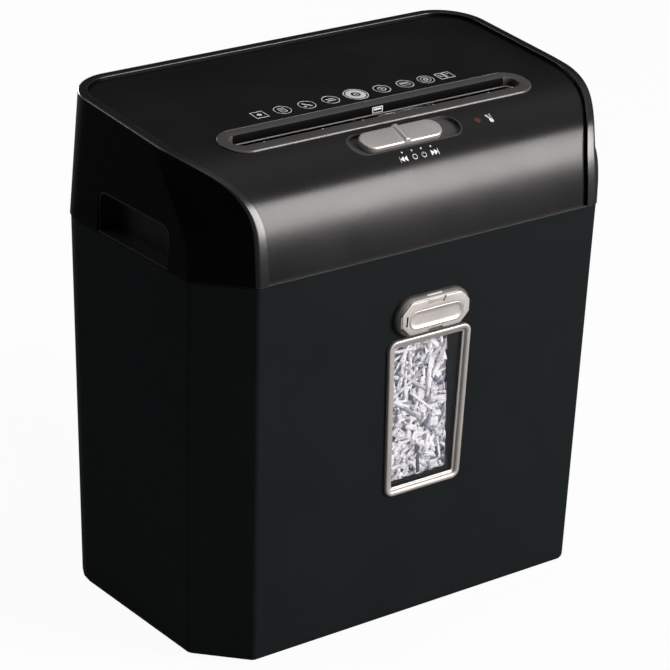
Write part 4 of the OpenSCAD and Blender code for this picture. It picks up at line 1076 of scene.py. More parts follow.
# %% Silver finishes
LACQUER = dict(grain=5200, bump=0.12, mottle=0.05, patch=60.0, depth=0.00008)
silver = finish("satin nickel lacquer", (0.48, 0.455, 0.435), 0.47, metal=0.7, **LACQUER)
silver_frame = finish("satin nickel frame", (0.42, 0.40, 0.38), 0.48, metal=0.75, **LACQUER)
silver_slider = finish("satin nickel slider", (0.47, 0.452, 0.435), 0.44, metal=0.75, **LACQUER)
# A darker copy of the nickel for the badge body's sides: painted shade.
silver_shaded = finish("satin nickel in painted shade", (0.20, 0.19, 0.18), 0.5, metal=0.8, grain=2200, bump=0.5,
                     mottle=0.2, patch=60.0, depth=0.0001)
wear(slider, silver_slider)
print("silver ready")

# %% [markdown]
# ## The front wall
# The front wall of the bin leans by about one degree. `front` places a point that
# is x across, v up the wall and h out of it, for a centre at a given height.

# %% Placing on the front wall
WALL_TOP_Y, WALL_LEAN = -88.0, 4.7    # the wall's place at the bin's top, and how far back its foot is
FRONT_TILT = math.atan(WALL_LEAN / BIN_TOP)
SIN_TILT, COS_TILT = math.sin(FRONT_TILT), math.cos(FRONT_TILT)


def front(mid, local):
    """Local (x, v, h) points on the front wall round the height mid."""
    x, v, h = np.asarray(local, float).reshape(-1, 3).T
    y0 = WALL_TOP_Y + WALL_LEAN * (1 - mid / BIN_TOP)
    return np.column_stack([x, y0 - v * SIN_TILT - h * COS_TILT, mid + v * COS_TILT - h * SIN_TILT])


print("the front wall leans", round(math.degrees(FRONT_TILT), 2), "degrees")

# %% [markdown]
# ## Badge
# The badge is a thick slot-shaped body with sloping sides. A flat plate with cut
# corners lies on it. The body is a strip of obround rings, one for each step of
# its side, and the last ring is so thin that it closes the top.

# %% Badge body
BADGE_Z, BADGE_W, BADGE_H = 212.4, 57.0, 26.0


def slot_rings(w, h, steps):
    """Rings at (inset, height) steps round an obround of this size, closed by the centre line."""
    return [raise_to(shrunk(w, h, s, 26, 60), level) for s, level in steps]


def closed_strip(rings, top=False):
    """A strip of rings with its first ring closed, and its last ring too when top is set."""
    block, faces = round_strip(rings)
    count, around = block.shape[:2]
    ends = [tuple(range(around - 1, -1, -1))]
    if top:
        ends.append(tuple(range((count - 1) * around, count * around)))
    return block.reshape(-1, 3), [*map(tuple, faces), *ends]


body_side = [(0, 0.02), (0, 2.1), (0.15, 2.7), (0.5, 3.3), (1.7, 4.7), (2.1, 5.05), (2.6, 5.2)]
body_top = [(6.0, 5.2), (BADGE_H / 2, 5.2)]
points, faces = closed_strip(slot_rings(BADGE_W, BADGE_H, body_side + body_top))
badge = make("badge_body", front(BADGE_Z, points), faces, "bin", weld=0.004, angle=50)
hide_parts("badge_plate")
# The body's sloping sides wear the darker nickel as painted shade.
wear(badge, silver_shaded)
print("badge body:", len(badge.data.polygons), "faces")

# %% Badge face
FACE_W, FACE_H = BADGE_W - 4.6, BADGE_H - 4.8
CORNER_CUT, CORNER_SOFT = 6.6, 2.4
FACE_RING_N = 40


def cut_corner_line(w, h, c, r, n=FACE_RING_N // 8):
    """A rectangle with its corners cut by c, each of the eight new corners rounded by r.

    Round the inner polygon, moved in by r, add arcs of radius r between the
    normals of neighbouring sides. A cut moved in by r shrinks by (2 - sqrt 2) r.
    """
    c, w, h = c - (2 - math.sqrt(2)) * r, w / 2 - r, h / 2 - r
    right = np.array([[w - c, -h], [w, c - h], [w, h - c], [w - c, h]])
    corners = np.roll(np.vstack([right, -right]), -1, axis=0)
    a = np.radians(np.arange(-45, 315, 45)[:, None] + np.linspace(0, 45, n))
    arc = np.stack([np.cos(a), np.sin(a)], axis=2) * r
    return (corners[:, None] + arc).reshape(-1, 2)


def face_ring(s, level):
    """The face plate's outline moved in by s, at a height."""
    return raise_to(cut_corner_line(FACE_W - 2 * s, FACE_H - 2 * s, CORNER_CUT - 0.6 * s, CORNER_SOFT), level)


face_steps = [(0, 5.0), (0, 5.7), (0.08, 5.86), (0.22, 5.96), (0.45, 6.0)]
points, faces = closed_strip([face_ring(*s) for s in face_steps], top=True)
badge_top = make("badge_face", front(BADGE_Z, points), faces, "bin", weld=0.004, angle=50)
print("badge face:", len(badge_top.data.polygons), "faces")

# %% [markdown]
# A notch for the thumb is sunk in the plate's upper edge. A smooth tab fills it
# and runs down over the body's slope, and a small tab stands at the left end.

# %% Badge tabs
def front_prism(outline, low, high):
    """A flat outline on the badge, carried from height low to high."""
    return prism(*(front(BADGE_Z, raise_to(outline, h)) for h in (low, high)))


tab_side = [(7.0, 5.3), (10.3, 5.3), (12.75, 3.25), (12.97, 2.4), (12.97, 0.4), (7.0, 0.4)]
thumb_tab = prism(*(front(BADGE_Z, [(x, v, h) for v, h in tab_side]) for x in (-6.0, 6.0)))
end_tab = front_prism([(-27.0, -4.4), (-24.6, -5.6), (-24.6, 3.6), (-27.0, 2.6)], 0.5, 5.5)
badge_tabs = make("badge_tabs", *join_grids([thumb_tab, end_tab]), "bin", weld=0.004, angle=30)
apply_modifier(badge_tabs, "BEVEL", width=0.25 * MM, segments=2, limit_method="ANGLE",
               angle_limit=math.radians(30))
finish_shading(badge_tabs.data, 40)
wear(badge_tabs, silver)
print("badge tabs:", len(badge_tabs.data.polygons), "faces")

# %% [markdown]
# The face plate also has a dark slit at its left end and one at its foot, and a
# seat for the oval. All are cut with one boolean each. The floors and walls of
# the slits then get painted shade in black, by the place of each face.

# %% Recesses in the badge face
notch = [(-7.4, 12), (-7.4, 9.6), (-5.6, 7.2), (5.6, 7.2), (7.4, 9.6), (7.4, 12)]
slit_left = [(-23.4, -4.2), (-22.1, -4.2), (-21.7, 2.6), (-23.0, 2.6)]
slit_low = [(-6.3, -11.4), (6.3, -11.4), (5.2, -9.0), (-5.2, -9.0)]
OVAL_X, OVAL_V, OVAL_W, OVAL_H = 0.4, -1.4, 42.0, 12.4
oval_seat = obround(OVAL_W + 0.5, OVAL_H + 0.5) + np.array([OVAL_X, OVAL_V])
floors = ((notch, 5.25), (slit_left, 5.1), (slit_low, 5.1), (oval_seat, 5.25))
cut(badge_top, [front_prism(outline, floor, 7.0) for outline, floor in floors], angle=40)


def sunk(obj, outline, low=4.1, high=5.85):
    """True for faces whose middle lies inside an upright box round the outline, from height low to high."""
    middle, _ = middles_and_normals(obj)
    x, y, z = (middle - front(BADGE_Z, [[0, 0, 0]])[0]).T
    v, h = z * COS_TILT - y * SIN_TILT, -y * COS_TILT - z * SIN_TILT
    (x0, v0), (x1, v1) = np.min(outline, axis=0) - 0.01, np.max(outline, axis=0) + 0.01
    return (x > x0) & (x < x1) & (v > v0) & (v < v1) & (h < high) & (h > low)


wear(badge_top, silver, black_and_painted_shade)
# Painted shade: the slits' floors and walls are painted black.
shaded_slits = sunk(badge_top, slit_left) | sunk(badge_top, slit_low)
badge_top.data.polygons.foreach_set("material_index", shaded_slits.astype(int))
print("badge face:", len(badge_top.data.polygons), "faces,", int(shaded_slits.sum()), "of them dark")

# %% [markdown]
# An oval stands on the badge: a shallow dish with a rounded rim. It is left empty.

# %% Badge oval
oval_rim = [(0, 5.2), (0, 5.95), (0.15, 6.1), (0.45, 6.16), (0.8, 6.1), (1.3, 5.9), (2.2, 5.6), (2.8, 5.5)]
oval_dish = [(3.4, 5.48), (OVAL_H / 2, 5.48)]
points, faces = closed_strip(slot_rings(OVAL_W, OVAL_H, oval_rim + oval_dish))
oval = make("badge_oval_skin", front(BADGE_Z, points + [OVAL_X, OVAL_V, 0]), faces, "bin", weld=0.004,
            angle=50)
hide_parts("badge_oval")
wear(oval, silver)
print("oval:", len(oval.data.polygons), "faces")

# %% [markdown]
# ## Window frame
# The frame is a rounded moulding, narrower at the foot than at the top. It has a
# soft outer roll, and a lower ledge inside it that frames the pane. One section
# is carried round the outline, and each ring is that outline moved in.

# %% Window frame
WINDOW_Z = 144.5
WINDOW_LOW, WINDOW_HIGH, WINDOW_TALL = 29.4, 32.3, 53.5     # half widths at foot and top, and half height
WINDOW_R, WINDOW_R_LEAST = 6.0, 1.2


def window_corner(d, sx, sv, n=12):
    """The arc of one corner, moved in by d, for the side sx and the end sv.

    Its centre is the crossing of its two sides moved in by the radius.
    """
    r = max(WINDOW_R - d, WINDOW_R_LEAST)
    lean = math.atan((WINDOW_HIGH - WINDOW_LOW) / (2 * WINDOW_TALL))
    v = sv * (WINDOW_TALL - d - r)
    half = (WINDOW_LOW + WINDOW_HIGH) / 2 + v * math.tan(lean) - (d + r) / math.cos(lean)
    beside = math.atan2(-math.sin(lean), math.cos(lean) * sx)
    beyond = math.atan2(sv, 0)
    start, stop = (beyond, beside) if sx * sv < 0 else (beside, beyond)
    stop += 2 * math.pi * round((start - stop) / (2 * math.pi))
    if stop < start:
        stop += 2 * math.pi
    a = np.linspace(start, stop, n)
    return np.array([sx * half, v]) + r * np.column_stack([np.cos(a), np.sin(a)])


def window_line(d, m=14):
    """The frame's outline moved in by d: four corner arcs with straight sides between them."""
    arcs = [window_corner(d, sx, sv) for sx, sv in ((1, -1), (1, 1), (-1, 1), (-1, -1))]
    s = np.linspace(0, 1, m)[1:-1, None]
    return np.vstack([np.vstack([arc, arc[-1] + (after[0] - arc[-1]) * s])
                      for arc, after in zip(arcs, arcs[1:] + arcs[:1])])


outer_roll = [(0.0, 0.02), (0.0, 1.5), (0.12, 1.95), (0.4, 2.25), (0.9, 2.38), (1.6, 2.4), (2.5, 2.25)]
inner_step = [(3.1, 1.95), (3.45, 1.5), (3.6, 1.05), (3.75, 0.75), (4.1, 0.62)]
ledge = [(5.0, 0.6), (5.3, 0.5), (5.4, 0.3), (5.4, 0.02)]
rings = [front(WINDOW_Z, raise_to(window_line(d), h)) for d, h in outer_roll + inner_step + ledge]
block, faces = round_strip(rings, wrap=True)
window = make("window_frame_skin", block, faces, "bin", weld=0.004, angle=48)
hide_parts("window_frame")
wear(window, silver_frame)
print("window frame:", len(window.data.polygons), "faces")

# %% [markdown]
# ## Bin
# The bin is one grained moulding. Its shape is right in the solid model, so we
# copy that mesh, weld its loose triangles and shade its rounds smoothly.

# %% Bin skin
def welded_copy(node, name, body, angle=32):
    """A copy of a solid node with its triangles welded, and weighted normals so that flats stay flat."""
    mesh = nodes[node].data.copy()
    bm = bmesh.new()
    bm.from_mesh(mesh)
    bmesh.ops.remove_doubles(bm, verts=bm.verts, dist=0.01 * MM)
    bmesh.ops.dissolve_limit(bm, angle_limit=math.radians(0.6), verts=bm.verts, edges=bm.edges)
    bm.to_mesh(mesh)
    bm.free()
    obj = place_object(name, mesh, body)
    finish_shading(mesh, angle)
    apply_modifier(obj, "WEIGHTED_NORMAL", keep_sharp=True, weight=80)
    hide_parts(node)
    return obj


bin_skin = welded_copy("waste_bin", "bin_skin", "bin")
wear(bin_skin, bin_black)
print("bin:", len(bin_skin.data.polygons), "faces")

# %% [markdown]
# ## Cut paper
# A cross-cut machine makes strips a few millimetres wide. Hundreds lie behind the
# window at all angles. Each strip is a thin ribbon that bends and twists: its
# middle line is a shallow arc, and its width turns slowly about that line.

# %% Paper strips
rng = np.random.default_rng(7)
CUTS, PAPER_HALF = 7, 0.06


def unit(v):
    """Rows scaled to length one."""
    return v / np.linalg.norm(v, axis=1)[:, None]


def ribbons(count, across, up, depth, size):
    """Many thin closed ribbons at once, as (points, faces, one random number per point).

    They are made in the wall's own frame (x, v, h). Each has a middle point, a
    direction, a length and a width. Middle line: s along the direction, plus a
    small curl times s^2 out of the wall, plus a smaller sway times s^2 sideways.
    """
    s = np.linspace(-0.5, 0.5, CUTS)
    mid = np.column_stack([rng.uniform(*room, count) for room in (across, up, depth)])
    a = rng.uniform(0, math.pi, count)
    length, width = rng.uniform(*size[0], count), rng.uniform(*size[1], count)
    along = unit(np.stack([np.cos(a), np.sin(a), rng.normal(0, 0.05, count)], axis=1))
    side = unit(np.cross(along, np.array([0, 0, 1.0])))
    out = np.cross(side, along)
    curl, sway = rng.normal(0, 0.004, count), rng.normal(0, 0.002, count)
    roll0, roll1 = rng.normal(0, 0.16, count), rng.normal(0, 0.22, count)
    run = length[:, None] * s[None]
    middle = mid[:, None] + along[:, None] * run[..., None]
    middle = middle + out[:, None] * (curl[:, None] * run ** 2)[..., None]
    middle = middle + side[:, None] * (sway[:, None] * run ** 2)[..., None]
    roll = roll0[:, None] + roll1[:, None] * s[None] * 2
    wide = side[:, None] * np.cos(roll)[..., None] + out[:, None] * np.sin(roll)[..., None]
    thin = np.cross(wide, along[:, None]) * PAPER_HALF
    wide = wide * width[:, None, None] / 2
    low, high = middle - thin, middle + thin
    section = np.stack([low - wide, low + wide, high + wide, high - wide], axis=2)
    caps = [[0, 1, 2, 3], [CUTS * 4 - 1 - k for k in range(4)]]
    one = np.vstack([weave(CUTS, 4, wrap_cols=True), caps])
    quads = (one[None] + (np.arange(count) * CUTS * 4)[:, None, None]).reshape(-1, 4)
    return section.reshape(-1, 3), quads, np.repeat(rng.uniform(0, 1, count), CUTS * 4)


PANE_BACK = -3.0                  # the pane's inner face, behind the wall's outer face
layers = [ribbons(300, across=(-30, 26), up=(-52, 52), depth=(PANE_BACK - 11.5, PANE_BACK - 6.5),
                  size=((20, 50), (2.6, 4.2))),
          ribbons(560, across=(-30, 24), up=(-50, 50), depth=(PANE_BACK - 6.5, PANE_BACK - 0.6),
                  size=((14, 46), (1.9, 3.9)))]
local = np.vstack([layer[0] for layer in layers])
paper_faces = np.vstack([layers[0][1], layers[1][1] + len(layers[0][0])])
strip_shade = np.concatenate([layer[2] for layer in layers])
print("strips:", len(local) // (CUTS * 4))

# %% [markdown]
# The strips lean on the sleeve: x is held between its walls, and v between its
# foot and its roof. Its left wall follows the frame, and its right wall leans in.

# %% Strips inside the sleeve
FOOT_V, FLOOR_V, ROOF_V = -48.0, -46.2, 47.6
LEFT_X, LEFT_OPENS = 23.4, 2.9 / 96       # the left wall at the foot, and its slope
RIGHT_X, RIGHT_CLOSES = 22.4, 0.05
DEEPEST, NEAREST = PANE_BACK - 12.2, PANE_BACK - 0.3


def hold_in_sleeve(local):
    """Clip (x, v, h) points to the sleeve's room, whose side walls are straight lines in v."""
    x, v, h = local.T
    rise = v - FOOT_V
    x = np.clip(x, -LEFT_X - LEFT_OPENS * rise, RIGHT_X - RIGHT_CLOSES * rise)
    return np.column_stack([x, np.clip(v, FLOOR_V, ROOF_V), np.clip(h, DEEPEST, NEAREST)])


def quick_mesh(name, points, quads):
    """A mesh from many quads at once through foreach_set."""
    mesh = bpy.data.meshes.new(name)
    mesh.vertices.add(len(points))
    mesh.vertices.foreach_set("co", (points * MM).ravel())
    mesh.loops.add(quads.size)
    mesh.loops.foreach_set("vertex_index", quads.ravel())
    mesh.polygons.add(len(quads))
    mesh.polygons.foreach_set("loop_start", np.arange(len(quads)) * 4)
    mesh.update(calc_edges=True)
    mesh.validate()
    return mesh


shred_mesh = quick_mesh("paper_strips", front(WINDOW_Z, hold_in_sleeve(local)), paper_faces)
shred_mesh.attributes.new("strip_shade", "FLOAT", "POINT").data.foreach_set("value", strip_shade.astype(np.float32))
shreds = place_object("paper_strips", shred_mesh, "bin")
print("strips:", len(shred_mesh.polygons), "faces")

# %% [markdown]
# Every strip has its own random number, which we kept as the attribute
# `strip_shade`. A colour ramp turns it into a tone: a few strips get a painted
# deep shade, some a painted half shade, and most are white. Flecks of dark ink
# come from a noise that is cut off low down.

# %% Paper finish
def tone_ramp(tree, stops):
    """A colour ramp through stops of (place, colour)."""
    ramp = add(tree, "ValToRGB")
    while len(ramp.color_ramp.elements) < len(stops):
        ramp.color_ramp.elements.new(0.5)
    for stop, (at, colour) in zip(ramp.color_ramp.elements, stops):
        stop.position, stop.color = at, (*colour, 1)
    return ramp


def paper_finish(name, shade_tone, high_tone, ink_tone=(0.13, 0.13, 0.22)):
    """White paper whose tone comes from each strip's own number, with grey-blue print specks.

    Some strips get a painted shade from their number. A small part of the tone
    is added as glow, painted light that brightens the strips.
    """
    mat = finish(name, high_tone, 0.75, grain=1600, bump=0.25, mottle=0.02, specular=0.2, patch=90)
    tree = mat.node_tree
    shader = tree.nodes["Principled BSDF"]
    own = add(tree, "Attribute")
    own.attribute_name = "strip_shade"
    # Painted shade: a deep and a half shade of the cool tone darken some strips.
    shade, half_shade = ([share * c for c in shade_tone] for share in (0.12, 0.5))
    ramp = tone_ramp(tree, [(0.0, shade), (0.13, half_shade), (0.36, high_tone)])
    fleck = add(tree, "TexNoise", Scale=520.0, Detail=1.0)
    gate = add(tree, "MapRange", From_Min=0.62, From_Max=0.70)
    inked = colour_mix(tree, second=ink_tone)
    wire(tree, (own, "Fac", ramp, "Fac"), (find(tree, "TEX_COORD"), "Object", fleck, "Vector"),
         (fleck, "Fac", gate, "Value"), (gate, "Result", inked, 0), (ramp, "Color", inked, 6),
         (inked, 2, shader, "Base Color"), (inked, 2, shader, "Emission Color"))
    # Painted light: the paper glows a little.
    shader.inputs["Emission Strength"].default_value = 0.10
    return mat


wear(shreds, paper_finish("cut paper", (0.44, 0.46, 0.60), (0.84, 0.83, 0.87)))
print("paper is white with ink flecks")

# %% [markdown]
# ## The heap
# The solid heap fills the bin behind the strips. Its front is moved back to make
# room for them, and it wears a coarse mottled grey-blue tone: painted shade in
# the gaps between the strips.

# %% Heap behind the strips
HEAP_BACK = 12.0


def push_back(obj, edge, by):
    """Move every point in front of edge back by this many millimetres."""
    co = np.zeros(len(obj.data.vertices) * 3)
    obj.data.vertices.foreach_get("co", co)
    co = co.reshape(-1, 3)
    co[co[:, 1] < edge * MM, 1] += by * MM
    obj.data.vertices.foreach_set("co", co.ravel())
    obj.data.update()


heap = welded_copy("paper_shreds", "paper_heap", "bin")
push_back(heap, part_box("paper_shreds")[0][1] / MM + 1, HEAP_BACK)
# Painted shade: the heap's grey-blue stands for the shade between the strips.
wear(heap, finish("heaped paper in painted shade", (0.30, 0.31, 0.36), 0.8, grain=260, bump=0.9, mottle=0.75, specular=0.1,
                  patch=420, depth=0.004))
print("heap moved back by", HEAP_BACK, "mm")

# %% [markdown]
# ## Clear pane
# The window has a clear plastic pane. It must let light fall on the paper as well
# as let the camera see it, so most of it is simply transparent. A thin gloss is
# laid on top, and it grows stronger where the view grazes the surface.

# %% Pane
def pane_finish():
    """Dark clear plastic whose alpha rises from 0.04 facing the view to 0.5 at a graze."""
    mat = finish("clear pane", (0.06, 0.065, 0.07), 0.04, grain=40, bump=0.02, mottle=0.01, patch=8)
    tree = mat.node_tree
    shader = tree.nodes["Principled BSDF"]
    graze = add(tree, "LayerWeight", Blend=0.35)
    spread = add(tree, "MapRange", To_Min=0.04, To_Max=0.5)
    wire(tree, (graze, "Facing", spread, "Value"), (spread, "Result", shader, "Alpha"))
    shader.inputs["IOR"].default_value = 1.49
    return mat


wear(nodes["window_pane"], pane_finish())
print("pane is clear")

# %% [markdown]
# ## Finishes of the inner parts
# The inner parts keep their solid shapes, so only their finishes are made here:
# zinc-plated plates with a crystal pattern, ground cutters with turning marks,
# white nylon gears, bronze, rubber and a green circuit board.

# %% Metal finishes
def plated(name, colour, rough, crystal=180.0):
    """Zinc plate: cell noise changes the roughness from crystal to crystal."""
    mat = finish(name, colour, rough, metal=1.0, grain=900, bump=0.03, mottle=0.06, patch=30)
    tree = mat.node_tree
    cell = add(tree, "TexVoronoi", Scale=crystal)
    tone = add(tree, "MapRange", To_Min=max(rough - 0.12, 0.05), To_Max=min(rough + 0.14, 1.0))
    wire(tree, (find(tree, "TEX_COORD"), "Object", cell, "Vector"), (cell, "Color", tone, "Value"),
         (tone, "Result", tree.nodes["Principled BSDF"], "Roughness"))
    return mat


def turned(name, colour, rough, pitch=1400.0, bump=0.25):
    """Metal turned on a lathe about X: a wave along X makes fine rings in the bump."""
    mat = finish(name, colour, rough, metal=1.0, grain=2400, bump=bump, mottle=0.08, patch=70)
    tree = mat.node_tree
    wave = add(tree, "TexWave", Scale=pitch, Distortion=1.5)
    wire(tree, (find(tree, "TEX_COORD"), "Object", wave, "Vector"),
         (wave, "Fac", find(tree, "BUMP"), "Height"))
    return mat


zinc_plate = plated("zinc plate", (0.60, 0.61, 0.62), 0.38)
motor_zinc = plated("motor can zinc", (0.52, 0.53, 0.54), 0.34, crystal=260)
bright_zinc = turned("bright zinc", (0.66, 0.66, 0.64), 0.3, pitch=900)
cutter_steel = turned("ground cutter steel", (0.36, 0.36, 0.37), 0.3, pitch=1800)
bronze = turned("sintered bronze", (0.55, 0.36, 0.17), 0.42, pitch=600, bump=0.1)
copper = turned("armature copper", (0.50, 0.26, 0.13), 0.4, pitch=2600, bump=0.5)
print("metals ready")

# %% Plastics inside
inner_plastic = finish("inner plastic", (0.012, 0.012, 0.013), 0.5, grain=1600, bump=0.25, specular=0.4)
grip_plastic = finish("grip liner plastic", (0.006, 0.006, 0.0062), 0.42, grain=2200, bump=0.12,
                      specular=0.16)
rubber = finish("foot rubber", (0.02, 0.02, 0.02), 0.85, grain=900, bump=0.5, mottle=0.25, specular=0.25)
nylon = finish("white nylon", (0.74, 0.73, 0.68), 0.45, grain=1200, bump=0.1, mottle=0.04, specular=0.45)
fan_plastic = finish("fan plastic", (0.03, 0.03, 0.032), 0.5, grain=1500, bump=0.2)
gloss_case = finish("gloss black case", (0.012, 0.012, 0.012), 0.18, grain=1500, bump=0.04)
varnish = finish("board varnish", (0.02, 0.13, 0.055), 0.25, grain=700, bump=0.08, mottle=0.3, patch=260)
epoxy = finish("component epoxy", (0.05, 0.05, 0.055), 0.5, grain=1400, bump=0.2, mottle=0.5, patch=120)
white_acetal = finish("white acetal", (0.72, 0.72, 0.70), 0.4, grain=1600, bump=0.1, mottle=0.03)
red_acetal = finish("red acetal", (0.52, 0.02, 0.02), 0.35, grain=1500, bump=0.1, mottle=0.08)
print("plastics ready")

# %% Which part wears what
WORN_BY = [
    (inner_plastic, ["guide_front", "guide_rear", "head_tray", "stripper_front", "stripper_rear",
                     "motor_cradle", "switch_body", "sensor_gate", "interlock_switch"]),
    (black_and_painted_shade, ["window_sleeve"]),
    (grip_plastic, ["grip_liners"]),
    (rubber, ["bin_feet", "cord_gland"]),
    (zinc_plate, ["side_plate_left", "side_plate_right", "gear_plate"]),
    (bright_zinc, ["tray_screws", "tie_rods", "tie_nuts", "idler_pins", "gear_plate_screws", "board_screws"]),
    (cutter_steel, ["cutter_front", "cutter_rear", "sync_gear_front", "sync_gear_rear", "drive_gear"]),
    (bronze, ["bushes", "motor_pinion"]),
    (nylon, ["idler_gear_a", "idler_gear_b"]),
    (motor_zinc, ["motor_can"]),
    (copper, ["motor_rotor"]),
    (fan_plastic, ["motor_fan"]),
    (gloss_case, ["thermal_cutout"]),
    (varnish, ["control_board"]),
    (epoxy, ["board_parts"]),
    (recess_grey, ["switch_recess"]),
    (white_acetal, ["sensor_lever"]),
    (red_acetal, ["interlock_plunger"]),
]
for mat, users in WORN_BY:
    for node in users:
        wear(nodes[node], mat)
print("inner finishes:", sum(len(users) for _, users in WORN_BY), "nodes")

# %% [markdown]
# ## Status lamp
# A small red lens over a lamp. The lamp is off, so the lens is a dark red with
# only a trace of glow.

# %% Lamp
lamp_red = finish("red lens", (0.045, 0.005, 0.005), 0.15, grain=900, bump=0.03, mottle=0.1)
shader = lamp_red.node_tree.nodes["Principled BSDF"]
shader.inputs["Emission Color"].default_value = (0.9, 0.04, 0.03, 1)
shader.inputs["Emission Strength"].default_value = 0.02
wear(nodes["status_lamp"], lamp_red)
print("lamp ready")

# %% [markdown]
# ## Prints on the panel
# The printed marks are thin raised films. A stroke is a line of a given width
# with a box section, carried along its path. Solid marks are flat outlines with
# a thickness. `lay` wraps both over the curve of the panel.

# %% Films
INK, SUNK = 0.05, -0.02           # a film's upper and lower face, from the panel


def stroke(path, width, closed=False):
    """A film along a path: four rails at plus and minus half the width, low and high."""
    p = np.asarray(path, float)
    ahead = np.roll(p, -1, axis=0) - np.roll(p, 1, axis=0) if closed else np.gradient(p, axis=0)
    ahead /= np.linalg.norm(ahead, axis=1)[:, None]
    side = np.column_stack([-ahead[:, 1], ahead[:, 0]]) * width / 2
    rails = [lay(p + side, SUNK), lay(p + side, INK), lay(p - side, INK), lay(p - side, SUNK)]
    faces = list(map(tuple, weave(len(p), 4, wrap_rows=closed, wrap_cols=True)))
    if not closed:
        faces += [(0, 1, 2, 3), tuple(range(len(p) * 4 - 1, len(p) * 4 - 5, -1))]
    return np.stack(rails, axis=1), faces


def solid_mark(outline):
    """A flat outline as a film."""
    return prism(lay(outline, SUNK), lay(outline, INK))


def disc(cx, cy, r, n=16):
    """A solid round mark."""
    return solid_mark(circle(cx, cy, r, n=n))


def loop(cx, cy, r, width, n=40):
    """A ring of this line width."""
    return stroke(circle(cx, cy, r, n=n), width, closed=True)


def box_loop(cx, cy, w, h, width, n=4):
    """A rectangle of this line width, with n points on each side."""
    c = np.array([[-1, -1], [1, -1], [1, 1], [-1, 1]]) * [w / 2, h / 2] + [cx, cy]
    s = np.linspace(0, 1, n + 1)[:-1, None]
    return stroke(np.vstack([c[i] + (c[(i + 1) % 4] - c[i]) * s for i in range(4)]), width, closed=True)


def bar(x0, y0, x1, y1, width):
    """A straight stroke of a few points."""
    s = np.linspace(0, 1, 4)[:, None]
    return stroke(np.array([x0, y0]) + np.array([x1 - x0, y1 - y0]) * s, width)


def level_bars(x0, x1, heights, width):
    """Level strokes from x0 to x1, one at each height."""
    return [bar(x0, y, x1, y, width) for y in heights]


print("a ring is a film of", len(loop(0, 0, 5.6, 0.5)[1]), "faces")

# %% [markdown]
# A row of nine small signs stands behind the slot: six rings with plain shapes in
# them, a large bright ring in the middle, a square at the left end and a pair of
# tall boxes at the right end.

# %% Picture row
ROW_Y = -1.0
RING_X = (-53.2, -34.6, -16.4, 23.6, 42.1, 58.6)
SQUARE_X, BRIGHT_X = -70.5, 3.1
THIN, BOLD = 0.5, 0.62
marks = [loop(x, ROW_Y, 5.6, THIN) for x in RING_X]
marks += [box_loop(SQUARE_X, ROW_Y, 8.6, 8.6, BOLD, n=5), disc(SQUARE_X, ROW_Y, 1.6, n=20)]
marks += [box_loop(-53.2, ROW_Y, 4.2, 5.6, THIN), *level_bars(-54.4, -52.0, (0.2, -1.4), THIN)]
marks += [bar(-37.0, ROW_Y + 2.6, -32.2, ROW_Y - 2.6, 1.3), disc(-37.2, ROW_Y - 1.9, 1.0)]
marks += level_bars(-19.6, -13.2, (ROW_Y + 1.2, ROW_Y - 1.2), 0.9)
marks += [loop(BRIGHT_X, ROW_Y, 7.9, BOLD), loop(BRIGHT_X, ROW_Y, 4.9, 3.4)]
marks += [box_loop(BRIGHT_X, ROW_Y, 2.2, 2.8, 0.6)]
marks += [loop(23.6, ROW_Y, 2.6, BOLD, n=28), disc(23.6, ROW_Y, 0.9, n=14)]
marks += [box_loop(42.1, ROW_Y, 6.2, 4.0, THIN), bar(39.4, ROW_Y + 0.7, 44.8, ROW_Y + 0.7, 0.9)]
marks += [loop(58.6, ROW_Y, 3.4, THIN, n=30), loop(58.6, ROW_Y, 1.3, 0.9, n=20)]
marks += [box_loop(x, ROW_Y, 5.0, 8.4, BOLD, n=5) for x in (70.9, 76.9)]
marks += [bar(x, y, x + 2.6, y, THIN) for x, y in ((69.6, 0.6), (75.6, 0.6), (69.6, -1.6))]
print("picture row:", len(marks), "strokes")

# %% [markdown]
# Under the switch there is a dot and a sign for each of its stops: back, off,
# standby and forward. A small thermometer stands beside the lamp.

# %% Switch marks
DOTS_X, DOTS_Y, SIGN_Y = (-12.0, -4.5, 2.7, 10.1), -68.0, -71.4
FINE = 0.28


def arrow(x, y, way, w=2.6, h=2.7):
    """A solid triangle that points left or right."""
    tail, tip = x - way * w / 2, x + way * w / 2
    return solid_mark([(tail, y - h / 2), (tip, y), (tail, y + h / 2)])


def skip_sign(x, way):
    """Two arrows and a bar at their tip."""
    stop_x = x + 2.85 * way
    return [arrow(x - 1.3 * way, SIGN_Y, way), arrow(x + 1.3 * way, SIGN_Y, way),
            bar(stop_x, SIGN_Y - 1.4, stop_x, SIGN_Y + 1.4, 0.32)]


def oval_sign(cx, a0=0.0, a1=360.0):
    """A flattened ring, or a part of one."""
    path = circle(0, 0, 1.0, 28, a0, a1) * [1.6, 1.15] + [cx, SIGN_Y]
    return stroke(path, FINE, closed=a1 - a0 >= 360)


marks += [disc(x, DOTS_Y, 0.52) for x in DOTS_X]
marks += skip_sign(-12.6, -1) + skip_sign(10.9, 1)
marks += [oval_sign(-4.2), oval_sign(2.8, 120, 420), bar(2.8, SIGN_Y + 0.2, 2.8, SIGN_Y + 1.5, FINE)]
marks += [disc(64.4, -60.4, 1.5, n=20), bar(64.2, -59.2, 63.0, -55.4, 1.15)]
marks += level_bars(65.2, 66.8, (-58.2, -56.8, -55.4), 0.4)
print("with the switch signs:", len(marks), "strokes")

# %% [markdown]
# A sheet sign sits on the slot's rear flare, made of five boxes of ink that don't
# quite touch. Pale ink dots along the front inner edge are painted highlights on
# the tips of the feed ribs.

# %% Marks in the slot
MARK_V, MARK_FALL, MARK_TOP = 6.63, 0.16, 0.2     # the flare's place at its top, and its slope inwards
MARK_OUT, MARK_SUNK = 0.09, -0.02                 # the film's two faces, from the flare


